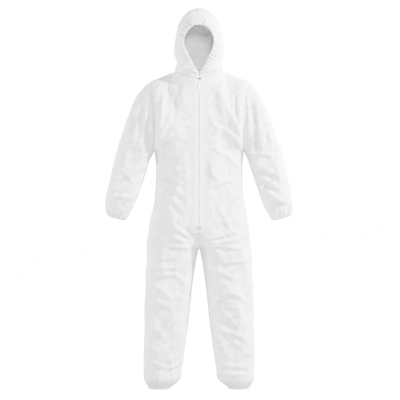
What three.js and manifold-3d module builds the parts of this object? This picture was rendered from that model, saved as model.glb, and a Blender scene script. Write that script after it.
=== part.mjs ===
// A hooded one-piece protective coverall: panels, sleeves, hood, elastics and a front zip.
// Millimetres, +Z up. The front faces -Y and the wearer's left is +X. The origin is on the floor
// plane of the ankle hems, midway between the suit's sides and between its front and back.
import * as THREE from 'three';
import { mergeVertices } from 'three/addons/utils/BufferGeometryUtils.js';
import Module from 'manifold-3d';

// ---- Driving sizes -------------------------------------------------------------------------
const WALL = 2; // thickness that stands for the cloth
const GAP = 0.35; // clearance between pieces that are sewn or clipped together

// Heights of the levels of the body.
const CROWN_Z = 1742;
const SHOULDER_Z = 1404;
const ARMPIT_Z = 1086;
const WAIST_Z = 968;
const ZIP_TOP_Z = 1411;
const ZIP_BOTTOM_Z = 743;
const CROTCH_Z = 640;
const THIGH_TOP_Z = 530;
const KNEE_TOP_Z = 460;
const KNEE_BOTTOM_Z = 290;
const ANKLE_Z = 75; // where the gathers of the ankle begin
const FORK_DROP = 100; // the centre seam curves under over this height

// Half-widths of the body.
const SHOULDER_X = 222;
const ARMPIT_X = 204;
const WAIST_X = 197;
const SEAT_X = 239;
const HEM_X = 255;
const SQUARENESS = 0.86; // below 1 fills out the corners of the oval sections
const NECK_SIDE_X = 112;
const NECK_SIDE_Z = 1447;
const NAPE_Z = 1472;
const NAPE_Y = 78;

// Depths of the body from the plane through its side seams.
const ZIP_TOP_Y = -104; // the zip is a straight line from here
const ZIP_BOTTOM_Y = -132; // to here
const CHEST_BACK = 128;
const WAIST_BACK = 112;
const SEAT_BACK = 134;
const LEG_TOP_DEPTH = 122;
const KNEE_DEPTH = 106;
const SHIN_DEPTH = 94;
const ARMHOLE_FRONT = 84;
const ARMHOLE_HOLLOW = 14; // how far the armhole is cut in towards the chest and back

// Ankle and wrist hems, drawn in by elastic.
const ANKLE_HEM_X = 182;
const ANKLE_HEM_HALF = 47;
const ANKLE_HEM_DEPTH = 50;
const WRIST_HALF = 35.5;
const WRIST_DEPTH = 36;
const WRIST_OUT = 154.5; // from the shoulder tip out to the middle of the wrist
const WRIST_DROP = 628; // and down to it
const WRIST_TILT = THREE.MathUtils.degToRad(14.5);
const SLEEVE_FORWARD = 16; // the forearm hangs this far before the shoulder

// Elastics.
const ELASTIC_THICK = 1.2;
const HEM_ELASTIC_WIDTH = 10;
const WAIST_ELASTIC_WIDTH = 22;
const FACE_ELASTIC_WIDTH = 8;

// Zip.
const TAPE_WIDTH = 17;
const TAPE_THICK = 0.8;
const SLOT_HALF = 0.8; // half the space between the coils, which the slider's divider runs in
const COIL_WIDTH = 2.6;
const COIL_THICK = 2.4;
const PANEL_TO_ZIP = 10; // the panels' edges stop this far from the middle behind the tapes
const SLIDER_WIDTH = 10.5;
const SLIDER_LENGTH = 13;
const SLIDER_PLATE = 1.2;
const TAB_LENGTH = 26;
const TAB_WIDTH = 6;
const BAR = 1.3; // thickness of the tab and of its bar
const CROWN_WIDTH = 2.2; // the slider's arch that the tab hangs in
const CROWN_THICK = 1;
const FLANGE = 0.7;
const STOP_LENGTH = 5;

// Hood.
const FACE_Z = 1588; // centre of the face opening's round part
const FACE_HALF = 68;
const HOOD_FLEX_Z = 1532; // the hood nods on the band below this height
const NECK_SEAM_LIFT = 0.7; // the hood stands this far above the panels' neck edge

// Colours.
const CLOTH = { color: 0xf0f2f4, roughness: 0.85, metalness: 0 };
const ELASTIC = { color: 0xe9e9e6, roughness: 0.9, metalness: 0 };
const TAPE = { color: 0xf6f7f8, roughness: 0.8, metalness: 0 };
const TEETH = { color: 0xf2f2f0, roughness: 0.45, metalness: 0 };
const METAL = { color: 0xd9dadb, roughness: 0.35, metalness: 0.6 };

// ---- Small tools ---------------------------------------------------------------------------
const suit = new THREE.Group();
const mix = (a, b, t) => a + (b - a) * t;
// Turns smoothly from 0 at from to 1 at to; either may be the larger.
const ease = (from, to, x) => {
  const t = THREE.MathUtils.clamp((x - from) / (to - from), 0, 1);
  return t * t * (3 - 2 * t);
};

// A smooth value along a list of [place, value] pairs, held flat past both ends.
function along(pairs) {
  const spots = [...pairs].sort((p, q) => p[0] - q[0]);
  return (x) => {
    const last = spots.length - 1;
    if (x <= spots[0][0]) return spots[0][1];
    if (x >= spots[last][0]) return spots[last][1];
    const k = spots.findIndex((p) => p[0] > x) - 1;
    const slope = (i) => {
      const [low, high] = [Math.max(i - 1, 0), Math.min(i + 1, last)];
      return (spots[high][1] - spots[low][1]) / (spots[high][0] - spots[low][0]);
    };
    const span = spots[k + 1][0] - spots[k][0];
    const t = (x - spots[k][0]) / span;
    const [t2, t3] = [t * t, t * t * t];
    return (
      (2 * t3 - 3 * t2 + 1) * spots[k][1] +
      (t3 - 2 * t2 + t) * span * slope(k) +
      (3 * t2 - 2 * t3) * spots[k + 1][1] +
      (t3 - t2) * span * slope(k + 1)
    );
  };
}

// Turns every face outwards where the bent shape came out inside out.
function faceOutwards(geometry) {
  const [place, index] = [geometry.attributes.position, geometry.index];
  const [a, b, c] = [new THREE.Vector3(), new THREE.Vector3(), new THREE.Vector3()];
  let volume = 0;
  for (let i = 0; i < index.count; i += 3) {
    a.fromBufferAttribute(place, index.getX(i));
    b.fromBufferAttribute(place, index.getX(i + 1));
    c.fromBufferAttribute(place, index.getX(i + 2));
    volume += a.dot(b.cross(c));
  }
  if (volume < 0) {
    for (let i = 0; i < index.count; i += 3) {
      const first = index.getX(i);
      index.setX(i, index.getX(i + 1));
      index.setX(i + 1, first);
    }
  }
  geometry.computeVertexNormals();
  return geometry;
}

function addPiece(name, geometry, look) {
  const mesh = new THREE.Mesh(geometry, new THREE.MeshStandardMaterial(look));
  mesh.name = name;
  suit.add(mesh);
  return mesh;
}

// Two short steps along the surface at (u, v) give its normal. A tube's u wraps round.
function normalAt(surface, u, v, wraps) {
  const step = 1e-3;
  const [v0, v1] = [Math.max(v - step, 0), Math.min(v + step, 1)];
  const u0 = wraps ? (u + 1 - step) % 1 : Math.max(u - step, 0);
  const u1 = wraps ? (u + step) % 1 : Math.min(u + step, 1);
  const du = surface(u1, v).sub(surface(u0, v));
  const dv = surface(u, v1).sub(surface(u, v0));
  return du.cross(dv).normalize();
}

// Bends a unit shape onto surface(u, v). layer is [inner, outer], measured along the normal that
// points away from core, a point inside the suit. keep moves a corner that passes a seam's plane.
function bend(shape, unitOf, surface, wraps, core, layer, keep) {
  const middle = surface(0.25, 0.5);
  const away = middle.clone().sub(core);
  const flip = Math.sign(normalAt(surface, 0.25, 0.5, wraps).dot(away));
  const place = shape.attributes.position;
  for (let i = 0; i < place.count; i += 1) {
    const [u, v, w] = unitOf(place.getX(i), place.getY(i), place.getZ(i));
    const out = normalAt(surface, u, v, wraps).multiplyScalar(flip * mix(layer[0], layer[1], w));
    const spot = keep(surface(u, v).add(out));
    place.setXYZ(i, spot.x, spot.y, spot.z);
  }
  return faceOutwards(shape);
}

const anywhere = (spot) => spot;

// A flat plate bent onto the surface.
function bentPlate(surface, across, up, core, layer, keep = anywhere) {
  const plate = new THREE.BoxGeometry(1, 1, 1, across, up, 1);
  const unitOf = (x, y, z) => [x + 0.5, y + 0.5, z + 0.5];
  return bend(plate, unitOf, surface, false, core, layer, keep);
}

// A ring, turned from a closed oblong profile, bent onto the tube surface(turn, v).
function bentRing(surface, around, up, core, layer) {
  const profile = [];
  for (let k = 0; k <= up; k += 1) profile.push(new THREE.Vector2(1, k / up));
  for (let k = up; k >= 0; k -= 1) profile.push(new THREE.Vector2(2, k / up));
  profile.push(profile[0].clone());
  const ring = new THREE.LatheGeometry(profile, around);
  const unitOf = (x, y, z) => {
    const turn = Math.round((Math.atan2(z, x) / (2 * Math.PI) + 1) * around) % around;
    return [turn / around, y, Math.hypot(x, z) - 1];
  };
  return bend(ring, unitOf, surface, true, core, layer, anywhere);
}

// ---- Body: trunk and legs ------------------------------------------------------------------
const zipY = (z) => mix(ZIP_BOTTOM_Y, ZIP_TOP_Y, (z - ZIP_BOTTOM_Z) / (ZIP_TOP_Z - ZIP_BOTTOM_Z));
const forkTopZ = CROTCH_Z + FORK_DROP;
const sideX = along([
  [ARMPIT_Z, ARMPIT_X],
  [WAIST_Z, WAIST_X],
  [mix(WAIST_Z, CROTCH_Z, 0.35), WAIST_X + 9],
  [mix(WAIST_Z, CROTCH_Z, 0.7), SEAT_X - 9],
  [CROTCH_Z, SEAT_X],
  [KNEE_TOP_Z, mix(SEAT_X, HEM_X, 0.5)],
  [KNEE_BOTTOM_Z, HEM_X - 3],
  [ANKLE_Z, HEM_X],
]);
const inseamX = along([
  [CROTCH_Z, 0],
  [mix(CROTCH_Z, THIGH_TOP_Z, 0.5), 14],
  [THIGH_TOP_Z, 21],
  [KNEE_TOP_Z, 31],
  [KNEE_BOTTOM_Z, 49],
  [ANKLE_Z, 79],
]);
const backDepth = along([
  [NAPE_Z, NAPE_Y],
  [mix(ARMPIT_Z, SHOULDER_Z, 0.4), CHEST_BACK],
  [WAIST_Z, WAIST_BACK],
  [forkTopZ, SEAT_BACK],
  [CROTCH_Z, LEG_TOP_DEPTH],
]);
const legDepth = along([
  [CROTCH_Z, LEG_TOP_DEPTH],
  [mix(KNEE_TOP_Z, KNEE_BOTTOM_Z, 0.5), KNEE_DEPTH],
  [ANKLE_Z, SHIN_DEPTH],
]);

const rounded = (value) => Math.sign(value) * Math.abs(value) ** SQUARENESS;

// A point of the trunk's oval: t runs from the centre front or back (0) to the side seam (1).
function trunkPoint(side, face, t, height, fork) {
  const a = sideX(height);
  const centreX = (fork * a) / 2;
  const start = Math.acos(-fork / (2 - fork));
  const angle = start * (1 - t);
  const depth = face < 0 ? -zipY(Math.max(height, forkTopZ)) : backDepth(Math.max(height, forkTopZ));
  const depthHere = mix(depth, LEG_TOP_DEPTH, fork);
  const x = centreX + (a - centreX) * rounded(Math.cos(angle));
  const centreZ = fork > 0 ? forkTopZ - FORK_DROP * (fork / (2 - fork)) : height;
  return new THREE.Vector3(
    side * Math.max(x, 0),
    face * depthHere * rounded(Math.sin(angle)),
    mix(centreZ, height, ease(0, 1, t)),
  );
}

// The armhole's loop: angle 0 is the shoulder tip, a right angle the front, a half turn the armpit.
function armholeLoop(side, angle) {
  const share = (1 + Math.cos(angle)) / 2;
  return new THREE.Vector3(
    side * (mix(ARMPIT_X, SHOULDER_X, share) - ARMHOLE_HOLLOW * Math.sin(angle) ** 2),
    -ARMHOLE_FRONT * rounded(Math.sin(angle)),
    mix(ARMPIT_Z, SHOULDER_Z, share),
  );
}

// The neck seam from the centre (0) to the shoulder seam (1).
function neckPoint(side, face, t) {
  const centre = face < 0 ? [0, ZIP_TOP_Y, ZIP_TOP_Z] : [0, NAPE_Y, NAPE_Z];
  const angle = (t * Math.PI) / 2;
  return new THREE.Vector3(
    side * NECK_SIDE_X * Math.sin(angle),
    mix(0, centre[1], Math.cos(angle)),
    mix(centre[2], NECK_SIDE_Z, Math.sin(angle) ** 1.4),
  );
}

// The yoke above the armpits: a patch spanned between its four edges.
function yokePoint(side, face, t, v) {
  const topShare = 0.5; // share of the top edge that is neck seam; the rest is shoulder seam
  const top = (s) => {
    if (s <= topShare) return neckPoint(side, face, s / topShare);
    return neckPoint(side, face, 1).lerp(armholeLoop(side, 0), (s - topShare) / (1 - topShare));
  };
  const bottom = (s) => trunkPoint(side, face, s, ARMPIT_Z, 0);
  const centre = (s) => {
    const z = mix(ARMPIT_Z, face < 0 ? ZIP_TOP_Z : NAPE_Z, s);
    return new THREE.Vector3(0, face < 0 ? zipY(z) : backDepth(z), z);
  };
  const edge = (s) => armholeLoop(side, -face * Math.PI * (1 - s));
  const part = (p, share) => p.clone().multiplyScalar(share);
  const outward = ease(0, 1, t); // keeps the panel square to the middle of the front and back
  return part(bottom(t), 1 - v)
    .add(part(top(t), v))
    .add(part(centre(v), 1 - outward))
    .add(part(edge(v), outward))
    .sub(part(bottom(0), (1 - outward) * (1 - v)))
    .sub(part(bottom(1), outward * (1 - v)))
    .sub(part(top(0), (1 - outward) * v))
    .sub(part(top(1), outward * v));
}

const YOKE_FROM = 0.6; // share of a panel's height that lies below the armpits
const FORK_SHARE = 0.22; // share of a panel's height that lies in the fork

// A whole trunk panel: v runs from the top of the leg up to the neck.
function panelPoint(side, face, t, v) {
  if (v >= YOKE_FROM) return yokePoint(side, face, t, (v - YOKE_FROM) / (1 - YOKE_FROM));
  if (v >= FORK_SHARE) {
    const height = mix(forkTopZ, ARMPIT_Z, (v - FORK_SHARE) / (YOKE_FROM - FORK_SHARE));
    return trunkPoint(side, face, t, height, 0);
  }
  const fork = 1 - v / FORK_SHARE;
  return trunkPoint(side, face, t, mix(forkTopZ, CROTCH_Z, fork), fork);
}

// A leg's oval section. turn 0 is the side seam, 0.25 the front, 0.5 the inseam, 0.75 the back.
function legPoint(side, turn, height) {
  const angle = turn * 2 * Math.PI;
  const gather = ease(ANKLE_Z, 0, height) ** 1.6;
  const mid = mix((sideX(height) + inseamX(height)) / 2, ANKLE_HEM_X, gather);
  const half = mix((sideX(height) - inseamX(height)) / 2, ANKLE_HEM_HALF, gather);
  const depth = mix(legDepth(height), ANKLE_HEM_DEPTH, gather);
  return new THREE.Vector3(
    side * (mid + half * rounded(Math.cos(angle))),
    -depth * rounded(Math.sin(angle)),
    height,
  );
}

const PANEL_COLUMNS = 9; // faces across a trunk panel, which the waist band's faces line up with
const PANEL_ROWS = 20;
const SIDES = { left: 1, right: -1 };
const FACES = { front: -1, back: 1 };

const SHIN_ROWS = 7;
const clothLayer = [-WALL, 0];
const innerLayer = [-WALL - 2 * GAP - ELASTIC_THICK, -WALL - 2 * GAP]; // an elastic inside

// Keeps a piece on its own side of the centre seam and of the side seams.
const keepBetween = (side, face) => (spot) => {
  spot.x = side * Math.max(side * spot.x, GAP / 2);
  spot.y = face * Math.max(face * spot.y, GAP / 2);
  return spot;
};

for (const [sideName, side] of Object.entries(SIDES)) {
  for (const [faceName, face] of Object.entries(FACES)) {
    const panel = (u, v) => {
      const p = panelPoint(side, face, u, mix(0.0006, 0.9994, v));
      const opening = face < 0 ? PANEL_TO_ZIP * ease(ZIP_BOTTOM_Z - 15, ZIP_BOTTOM_Z, p.z) : 0;
      p.x += side * Math.max(GAP / 2, opening) * (1 - u) ** 2 - side * GAP * ease(0.8, 1, u);
      return p;
    };
    const core = new THREE.Vector3(side * ARMPIT_X * 0.4, 0, WAIST_Z);
    addPiece(
      `${faceName}_panel_${sideName}`,
      bentPlate(panel, PANEL_COLUMNS, PANEL_ROWS, core, clothLayer, keepBetween(side, face)),
      CLOTH,
    );
  }
}

for (const [sideName, side] of Object.entries(SIDES)) {
  const core = (height) => new THREE.Vector3(side * (sideX(height) + inseamX(height)) / 2, 0, height);
  const tube = (low, high) => (turn, v) =>
    legPoint(side, turn, mix(low + GAP / 2, high - GAP / 2, v));
  const ring = (name, low, high, up) => {
    const geometry = bentRing(tube(low, high), 16, up, core((low + high) / 2), clothLayer);
    addPiece(`${name}_${sideName}`, geometry, CLOTH);
  };
  const halves = (name, low, high, up) => {
    for (const [faceName, face] of Object.entries(FACES)) {
      const around = tube(low, high);
      const half = (u, v) => around(face < 0 ? u / 2 : (1 - u / 2) % 1, v);
      const keep = keepBetween(side, face);
      const geometry = bentPlate(half, 8, up, core((low + high) / 2), clothLayer, keep);
      addPiece(`${name}_${faceName}_${sideName}`, geometry, CLOTH);
    }
  };
  ring('hip_flex', THIGH_TOP_Z, CROTCH_Z, 3);
  halves('thigh', KNEE_TOP_Z, THIGH_TOP_Z, 2);
  ring('knee_flex', KNEE_BOTTOM_Z, KNEE_TOP_Z, 4);
  halves('shin', -GAP / 2, KNEE_BOTTOM_Z, SHIN_ROWS);
  const band = (turn, v) => {
    const rowTop = KNEE_BOTTOM_Z / SHIN_ROWS; // the band lies behind the shin's lowest row of faces
    const share = (HEM_ELASTIC_WIDTH * mix(0.3, 1.3, v)) / rowTop;
    return legPoint(side, turn, 0).lerp(legPoint(side, turn, rowTop), share);
  };
  const elastic = bentRing(band, 16, 1, new THREE.Vector3(side * ANKLE_HEM_X, 0, 10), innerLayer);
  addPiece(`ankle_elastic_${sideName}`, elastic, ELASTIC);
}

// ---- Waist elastic: from one front, round the back, to the other front ----------------------
const BAND_FRONT_COLUMNS = 3; // how many of the front panel's columns the band's ends cover
const bandColumns = 2 * (PANEL_COLUMNS + BAND_FRONT_COLUMNS);
const rowStep = (ARMPIT_Z - forkTopZ) / ((YOKE_FROM - FORK_SHARE) * PANEL_ROWS);
const bandFrom = (WAIST_Z - WAIST_ELASTIC_WIDTH / 2 - forkTopZ) / rowStep;
const rowBelow = Math.floor(bandFrom + FORK_SHARE * PANEL_ROWS) - FORK_SHARE * PANEL_ROWS;
// A point behind the panels' row of faces that the band lies on.
const behindRow = (side, face, t, height) => {
  const low = trunkPoint(side, face, t, forkTopZ + rowBelow * rowStep, 0);
  const high = trunkPoint(side, face, t, forkTopZ + (rowBelow + 1) * rowStep, 0);
  return low.lerp(high, (height - forkTopZ) / rowStep - rowBelow);
};
const waistBand = (u, v) => {
  const turn = mix(-1, 1, u); // -1 and 1 are the front ends, 0 the centre back
  const side = turn < 0 ? -1 : 1;
  const sweep = Math.abs(turn) * (1 + BAND_FRONT_COLUMNS / PANEL_COLUMNS);
  const height = mix(WAIST_Z - WAIST_ELASTIC_WIDTH / 2, WAIST_Z + WAIST_ELASTIC_WIDTH / 2, v);
  if (sweep <= 1) return behindRow(side, 1, sweep, height);
  return behindRow(side, -1, 2 - sweep, height);
};
addPiece(
  'waist_elastic',
  bentPlate(waistBand, bandColumns, 1, new THREE.Vector3(0, 50, WAIST_Z), innerLayer),
  ELASTIC,
);

// ---- Sleeves -------------------------------------------------------------------------------
// Each loop gives its outer and inner points as [x, z], and its depths before and behind. The
// first is the armhole, the fan of the sleeve cap follows, then the tube down to the wrist. The
// outer points are placed from the shoulder tip, the inner ones from the armpit.
const wristEnd = (out) => [
  SHOULDER_X + WRIST_OUT + out * WRIST_HALF * Math.cos(WRIST_TILT),
  SHOULDER_Z - WRIST_DROP + out * WRIST_HALF * Math.sin(WRIST_TILT),
];
const outer = (out, down) => [SHOULDER_X + out, SHOULDER_Z - down];
const inner = (out, down) => [ARMPIT_X + out, ARMPIT_Z - down];
const LOOPS = [
  { at: 0, outer: outer(0, 0), inner: inner(0, 0), depth: ARMHOLE_FRONT },
  { at: 1, outer: outer(62, 69), inner: inner(4, 9), depth: 88 },
  { at: 2, outer: outer(111, 185), inner: inner(10, 23), depth: 86 },
  { at: 3, outer: outer(153, 316), inner: inner(19, 42), depth: 80 },
  { at: 4, outer: outer(171, 378), inner: inner(39, 104), depth: 77 },
  { at: 5, outer: outer(190, 466), inner: inner(67, 189), depth: 72 },
  { at: 6, outer: outer(204, 542), inner: inner(97, 262), depth: 65 },
  { at: 7, outer: outer(205, 587), inner: inner(118, 298), depth: 52 },
  { at: 8, outer: wristEnd(1), inner: wristEnd(-1), depth: WRIST_DEPTH },
];
const loopValue = (pick) => along(LOOPS.map((loop) => [loop.at, pick(loop)]));
const sleeveLine = {
  outerX: loopValue((loop) => loop.outer[0]),
  outerZ: loopValue((loop) => loop.outer[1]),
  innerX: loopValue((loop) => loop.inner[0]),
  innerZ: loopValue((loop) => loop.inner[1]),
  depth: loopValue((loop) => loop.depth),
};

// A sleeve's loop at a place along it. turn 0 is the outer side, 0.25 the front, 0.5 the inner.
function sleevePoint(side, turn, at) {
  const angle = turn * 2 * Math.PI;
  const share = (1 + Math.cos(angle)) / 2;
  const cap = ease(1.5, 0, at);
  const x = mix(sleeveLine.innerX(at), sleeveLine.outerX(at), share);
  const hollow = ARMHOLE_HOLLOW * cap * Math.sin(angle) ** 2; // follows the armhole's inward curve
  const z = mix(sleeveLine.innerZ(at), sleeveLine.outerZ(at), share);
  const forward = SLEEVE_FORWARD * ease(1, 8, at);
  return new THREE.Vector3(
    side * (x - hollow),
    -sleeveLine.depth(at) * rounded(Math.sin(angle)) - forward,
    z,
  );
}

// Places along the sleeve, counted in loops.
const CAP_START = 0.03;
const CAP_END = 2.72;
const ELBOW_TOP = 3.7;
const ELBOW_BOTTOM = 5.25;
const WRIST_LOOP = 8;
const LOOP_GAP = 0.006;
for (const [sideName, side] of Object.entries(SIDES)) {
  const middle = (at) => sleevePoint(side, 0, at).add(sleevePoint(side, 0.5, at)).divideScalar(2);
  const section = (low, high) => (turn, v) => sleevePoint(side, turn, mix(low, high, v));
  const length = (name, low, high, up) => {
    const core = middle((low + high) / 2);
    addPiece(`${name}_${sideName}`, bentRing(section(low, high), 16, up, core, clothLayer), CLOTH);
  };
  length('sleeve_cap', CAP_START, CAP_END, 5);
  length('upper_sleeve', CAP_END + LOOP_GAP, ELBOW_TOP, 2);
  length('elbow_flex', ELBOW_TOP + LOOP_GAP, ELBOW_BOTTOM, 3);
  length('forearm', ELBOW_BOTTOM + LOOP_GAP, WRIST_LOOP, 6);
  const band = section(WRIST_LOOP - 0.3, WRIST_LOOP - 0.07);
  const elastic = bentRing(band, 16, 1, middle(WRIST_LOOP), innerLayer);
  addPiece(`wrist_elastic_${sideName}`, elastic, ELASTIC);
}

// ---- Hood ----------------------------------------------------------------------------------
const hoodHalf = along([
  [ZIP_TOP_Z, 122],
  [NECK_SIDE_Z, NECK_SIDE_X],
  [NECK_SIDE_Z + 38, 101],
  [HOOD_FLEX_Z, 115],
  [FACE_Z + 7, 110],
  [CROWN_Z - 91, 99],
  [CROWN_Z - 55, 83],
  [CROWN_Z - 30, 62],
  [CROWN_Z - 12, 38],
  [CROWN_Z, 2],
]);
const hoodFront = along([
  [ZIP_TOP_Z, ZIP_TOP_Y],
  [ZIP_TOP_Z + 74, -109],
  [HOOD_FLEX_Z, -118],
  [FACE_Z, -126],
  [FACE_Z + FACE_HALF, -113],
  [CROWN_Z - 42, -84],
  [CROWN_Z - 14, -42],
  [CROWN_Z, 8],
]);
const hoodBack = along([
  [ZIP_TOP_Z, 66],
  [NAPE_Z, NAPE_Y],
  [HOOD_FLEX_Z, 112],
  [FACE_Z + 12, 134.5],
  [CROWN_Z - 72, 126],
  [CROWN_Z - 30, 90],
  [CROWN_Z - 10, 52],
  [CROWN_Z, 12],
]);

// Half the face opening's width: a round top on two straight sides that meet at the zip.
function faceHalf(z) {
  const reach = FACE_Z - ZIP_TOP_Z;
  const tangent = Math.asin(FACE_HALF / reach);
  const joinZ = FACE_Z - FACE_HALF * Math.sin(tangent);
  if (z >= FACE_Z + FACE_HALF) return 0;
  if (z >= joinZ) return Math.sqrt(FACE_HALF ** 2 - (z - FACE_Z) ** 2);
  return Math.max((z - ZIP_TOP_Z) * Math.tan(tangent), 0);
}

// A point of the hood at a height. v runs from the face edge or front seam (0) to the back (1).
function hoodAt(side, v, z) {
  const [front, back] = [hoodFront(z), hoodBack(z)];
  const half = hoodHalf(z);
  const open = Math.min(Math.max(faceHalf(z), 0) / half, 1);
  const first = Math.asin(Math.min(open ** (1 / SQUARENESS), 1));
  const angle = mix(first, Math.PI, v);
  return new THREE.Vector3(
    side * half * rounded(Math.max(Math.sin(angle), 0)),
    mix(back, front, (1 + Math.cos(angle)) / 2),
    z,
  );
}

// The flexing band stands on the neck seam, which v follows from the zip (0) to the nape (1).
const hoodBand = (side, v, s) => {
  const seam = v < 0.5 ? neckPoint(side, -1, 2 * v) : neckPoint(side, 1, 2 - 2 * v);
  seam.z += NECK_SEAM_LIFT;
  const upper = hoodAt(side, v, mix(seam.z, HOOD_FLEX_Z - GAP / 2, s));
  return upper.lerp(seam.setZ(upper.z), ease(0.5, 0, s));
};
const hoodUpper = (side, v, s) => {
  const rise = Math.sin((s * Math.PI) / 2);
  return hoodAt(side, v, mix(HOOD_FLEX_Z + GAP / 2, CROWN_Z, rise));
};

const HOOD_COLUMNS = 12;
const HOOD_ROWS = 10;
const HOOD_BAND_ROWS = 4;
const arcLayer = [-WALL - 2.4 * GAP - ELASTIC_THICK, -WALL - 2.4 * GAP];
// The arc ends at the row of faces where the opening starts to close over the forehead.
const arcRise = (FACE_Z + FACE_HALF / 2 - HOOD_FLEX_Z) / (CROWN_Z - HOOD_FLEX_Z);
const arcRows = Math.max(Math.round((HOOD_ROWS * 2 * Math.asin(arcRise)) / Math.PI), 1);
const legLayer = [-WALL - 4.6 * GAP - ELASTIC_THICK, -WALL - 4.6 * GAP]; // clears the neck's bend
const hoodCore = new THREE.Vector3(0, 10, HOOD_FLEX_Z);
for (const [sideName, side] of Object.entries(SIDES)) {
  const keep = (spot) => spot.setX(side * Math.max(side * spot.x, GAP / 2));
  const seamed = (surface) => (u, v) => {
    const p = surface(side, u, v);
    return p.setX(p.x + (side * GAP) / 2);
  };
  const neck = bentPlate(seamed(hoodBand), HOOD_COLUMNS, HOOD_BAND_ROWS, hoodCore, clothLayer, keep);
  addPiece(`hood_neck_${sideName}`, neck, CLOTH);
  const panel = bentPlate(seamed(hoodUpper), HOOD_COLUMNS, HOOD_ROWS, hoodCore, clothLayer, keep);
  addPiece(`hood_panel_${sideName}`, panel, CLOTH);
}

// The face elastic lies inside the hood's hem, behind the first column of the cloth's faces: an
// arc on the hood, and a leg down each side towards the zip.
for (const [sideName, side] of Object.entries(SIDES)) {
  const hem = (surface, low, high) => (u, v) => {
    const s = mix(low, high, u);
    const inner = surface(side, 1 / HOOD_COLUMNS, s);
    return surface(side, 0, s).lerp(inner, mix(0.1, 0.1 + FACE_ELASTIC_WIDTH / 25, v));
  };
  const arc = hem(hoodUpper, 0, arcRows / HOOD_ROWS);
  const upper = bentPlate(arc, arcRows, 1, hoodCore, arcLayer);
  addPiece(`face_elastic_upper_${sideName}`, upper, ELASTIC);
  const leg = hem(hoodBand, 1 / HOOD_BAND_ROWS, 1);
  const lower = bentPlate(leg, HOOD_BAND_ROWS - 1, 1, hoodCore, legLayer);
  addPiece(`face_elastic_lower_${sideName}`, lower, ELASTIC);
}

// ---- Zip -----------------------------------------------------------------------------------
// Everything of the zip lies in a tilted group: its z runs up the zip, its -y faces out.
const zipLength = Math.hypot(ZIP_TOP_Z - ZIP_BOTTOM_Z, ZIP_TOP_Y - ZIP_BOTTOM_Y);
const zipLean = Math.atan2(ZIP_TOP_Y - ZIP_BOTTOM_Y, ZIP_TOP_Z - ZIP_BOTTOM_Z);
const zip = new THREE.Group();
zip.position.set(0, ZIP_BOTTOM_Y, ZIP_BOTTOM_Z);
zip.rotation.x = -zipLean;
suit.add(zip);

const block = (wide, deep, tall, x, y, z) => {
  const box = new THREE.BoxGeometry(wide, deep, tall);
  box.translate(x, y, z);
  return box;
};

function addToZip(name, geometry, look) {
  const mesh = addPiece(name, geometry, look);
  zip.add(mesh);
  return mesh;
}

const TAPE_OUT = -GAP - 0.25; // the tape's inner face, just outside the panels
const coilMiddle = TAPE_OUT - TAPE_THICK / 2;
const CHAIN_TOP = zipLength - 22;
for (const [sideName, side] of Object.entries(SIDES)) {
  const tapeInner = SLOT_HALF + COIL_WIDTH + GAP;
  addToZip(
    `zip_tape_${sideName}`,
    block(TAPE_WIDTH, TAPE_THICK, zipLength - 10, side * (tapeInner + TAPE_WIDTH / 2), coilMiddle,
      zipLength / 2 - 3),
    TAPE,
  );
  addToZip(
    `zip_teeth_${sideName}`,
    block(COIL_WIDTH, COIL_THICK, CHAIN_TOP, side * (SLOT_HALF + COIL_WIDTH / 2), coilMiddle,
      CHAIN_TOP / 2),
    TEETH,
  );
  addToZip(
    `zip_top_stop_${sideName}`,
    block(COIL_WIDTH + 0.4, COIL_THICK + 0.4, STOP_LENGTH, side * (SLOT_HALF + COIL_WIDTH / 2 - 0.1),
      coilMiddle, CHAIN_TOP + GAP + STOP_LENGTH / 2),
    METAL,
  );
}
addToZip(
  'zip_bottom_stop',
  block(2 * (SLOT_HALF + COIL_WIDTH), COIL_THICK + 0.6, STOP_LENGTH, 0, coilMiddle,
    -GAP - STOP_LENGTH / 2),
  METAL,
);

// The slider: two plates joined by the divider that runs between the coils, small flanges that
// close over the tapes, and a crown that the pull tab's bar hangs in.
const plateIn = COIL_THICK / 2 + GAP;
const plateOut = plateIn + SLIDER_PLATE;
const divider = SLOT_HALF - GAP + 0.05;
const half = SLIDER_WIDTH / 2;
const section = new THREE.Shape();
const corners = [
  [divider, plateIn], [half - FLANGE, plateIn], [half - FLANGE, plateIn - FLANGE],
  [half, plateIn - FLANGE], [half, plateOut],
];
section.moveTo(-half, plateOut);
for (const [x, y] of [...corners].reverse()) section.lineTo(x, y);
for (const [x, y] of corners) section.lineTo(x, -y);
for (const [x, y] of [...corners].reverse()) section.lineTo(-x, -y);
for (const [x, y] of corners) section.lineTo(-x, y);
const plates = new THREE.ExtrudeGeometry(section, { depth: SLIDER_LENGTH, bevelEnabled: false });
plates.translate(0, coilMiddle, CHAIN_TOP - SLIDER_LENGTH - GAP);

// The crown is an arch that stands on the front plate and is as wide as the tab's window allows.
const archHalf = BAR / 2 + 2 * GAP + 0.5; // half the arch's opening, along the slider
const archTall = BAR + 2.5 * GAP;
const barZ = CHAIN_TOP - GAP - SLIDER_LENGTH * 0.42;
const plateFaceY = coilMiddle - plateOut;
const arch = new THREE.Shape();
const archOuter = [
  [-archHalf - CROWN_THICK, 0], [-archHalf - CROWN_THICK, archTall],
  [-archHalf, archTall + CROWN_THICK], [archHalf, archTall + CROWN_THICK],
  [archHalf + CROWN_THICK, archTall], [archHalf + CROWN_THICK, 0], [archHalf, 0],
  [archHalf, archTall], [-archHalf, archTall], [-archHalf, 0],
];
arch.moveTo(...archOuter[0].map((value, k) => (k ? value - 0.3 : value)));
for (const [a, b] of archOuter.slice(1)) arch.lineTo(a, b > 0 ? b : -0.3);
const crown = new THREE.ExtrudeGeometry(arch, { depth: CROWN_WIDTH, bevelEnabled: false });
crown.translate(0, 0, -CROWN_WIDTH / 2);
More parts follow.
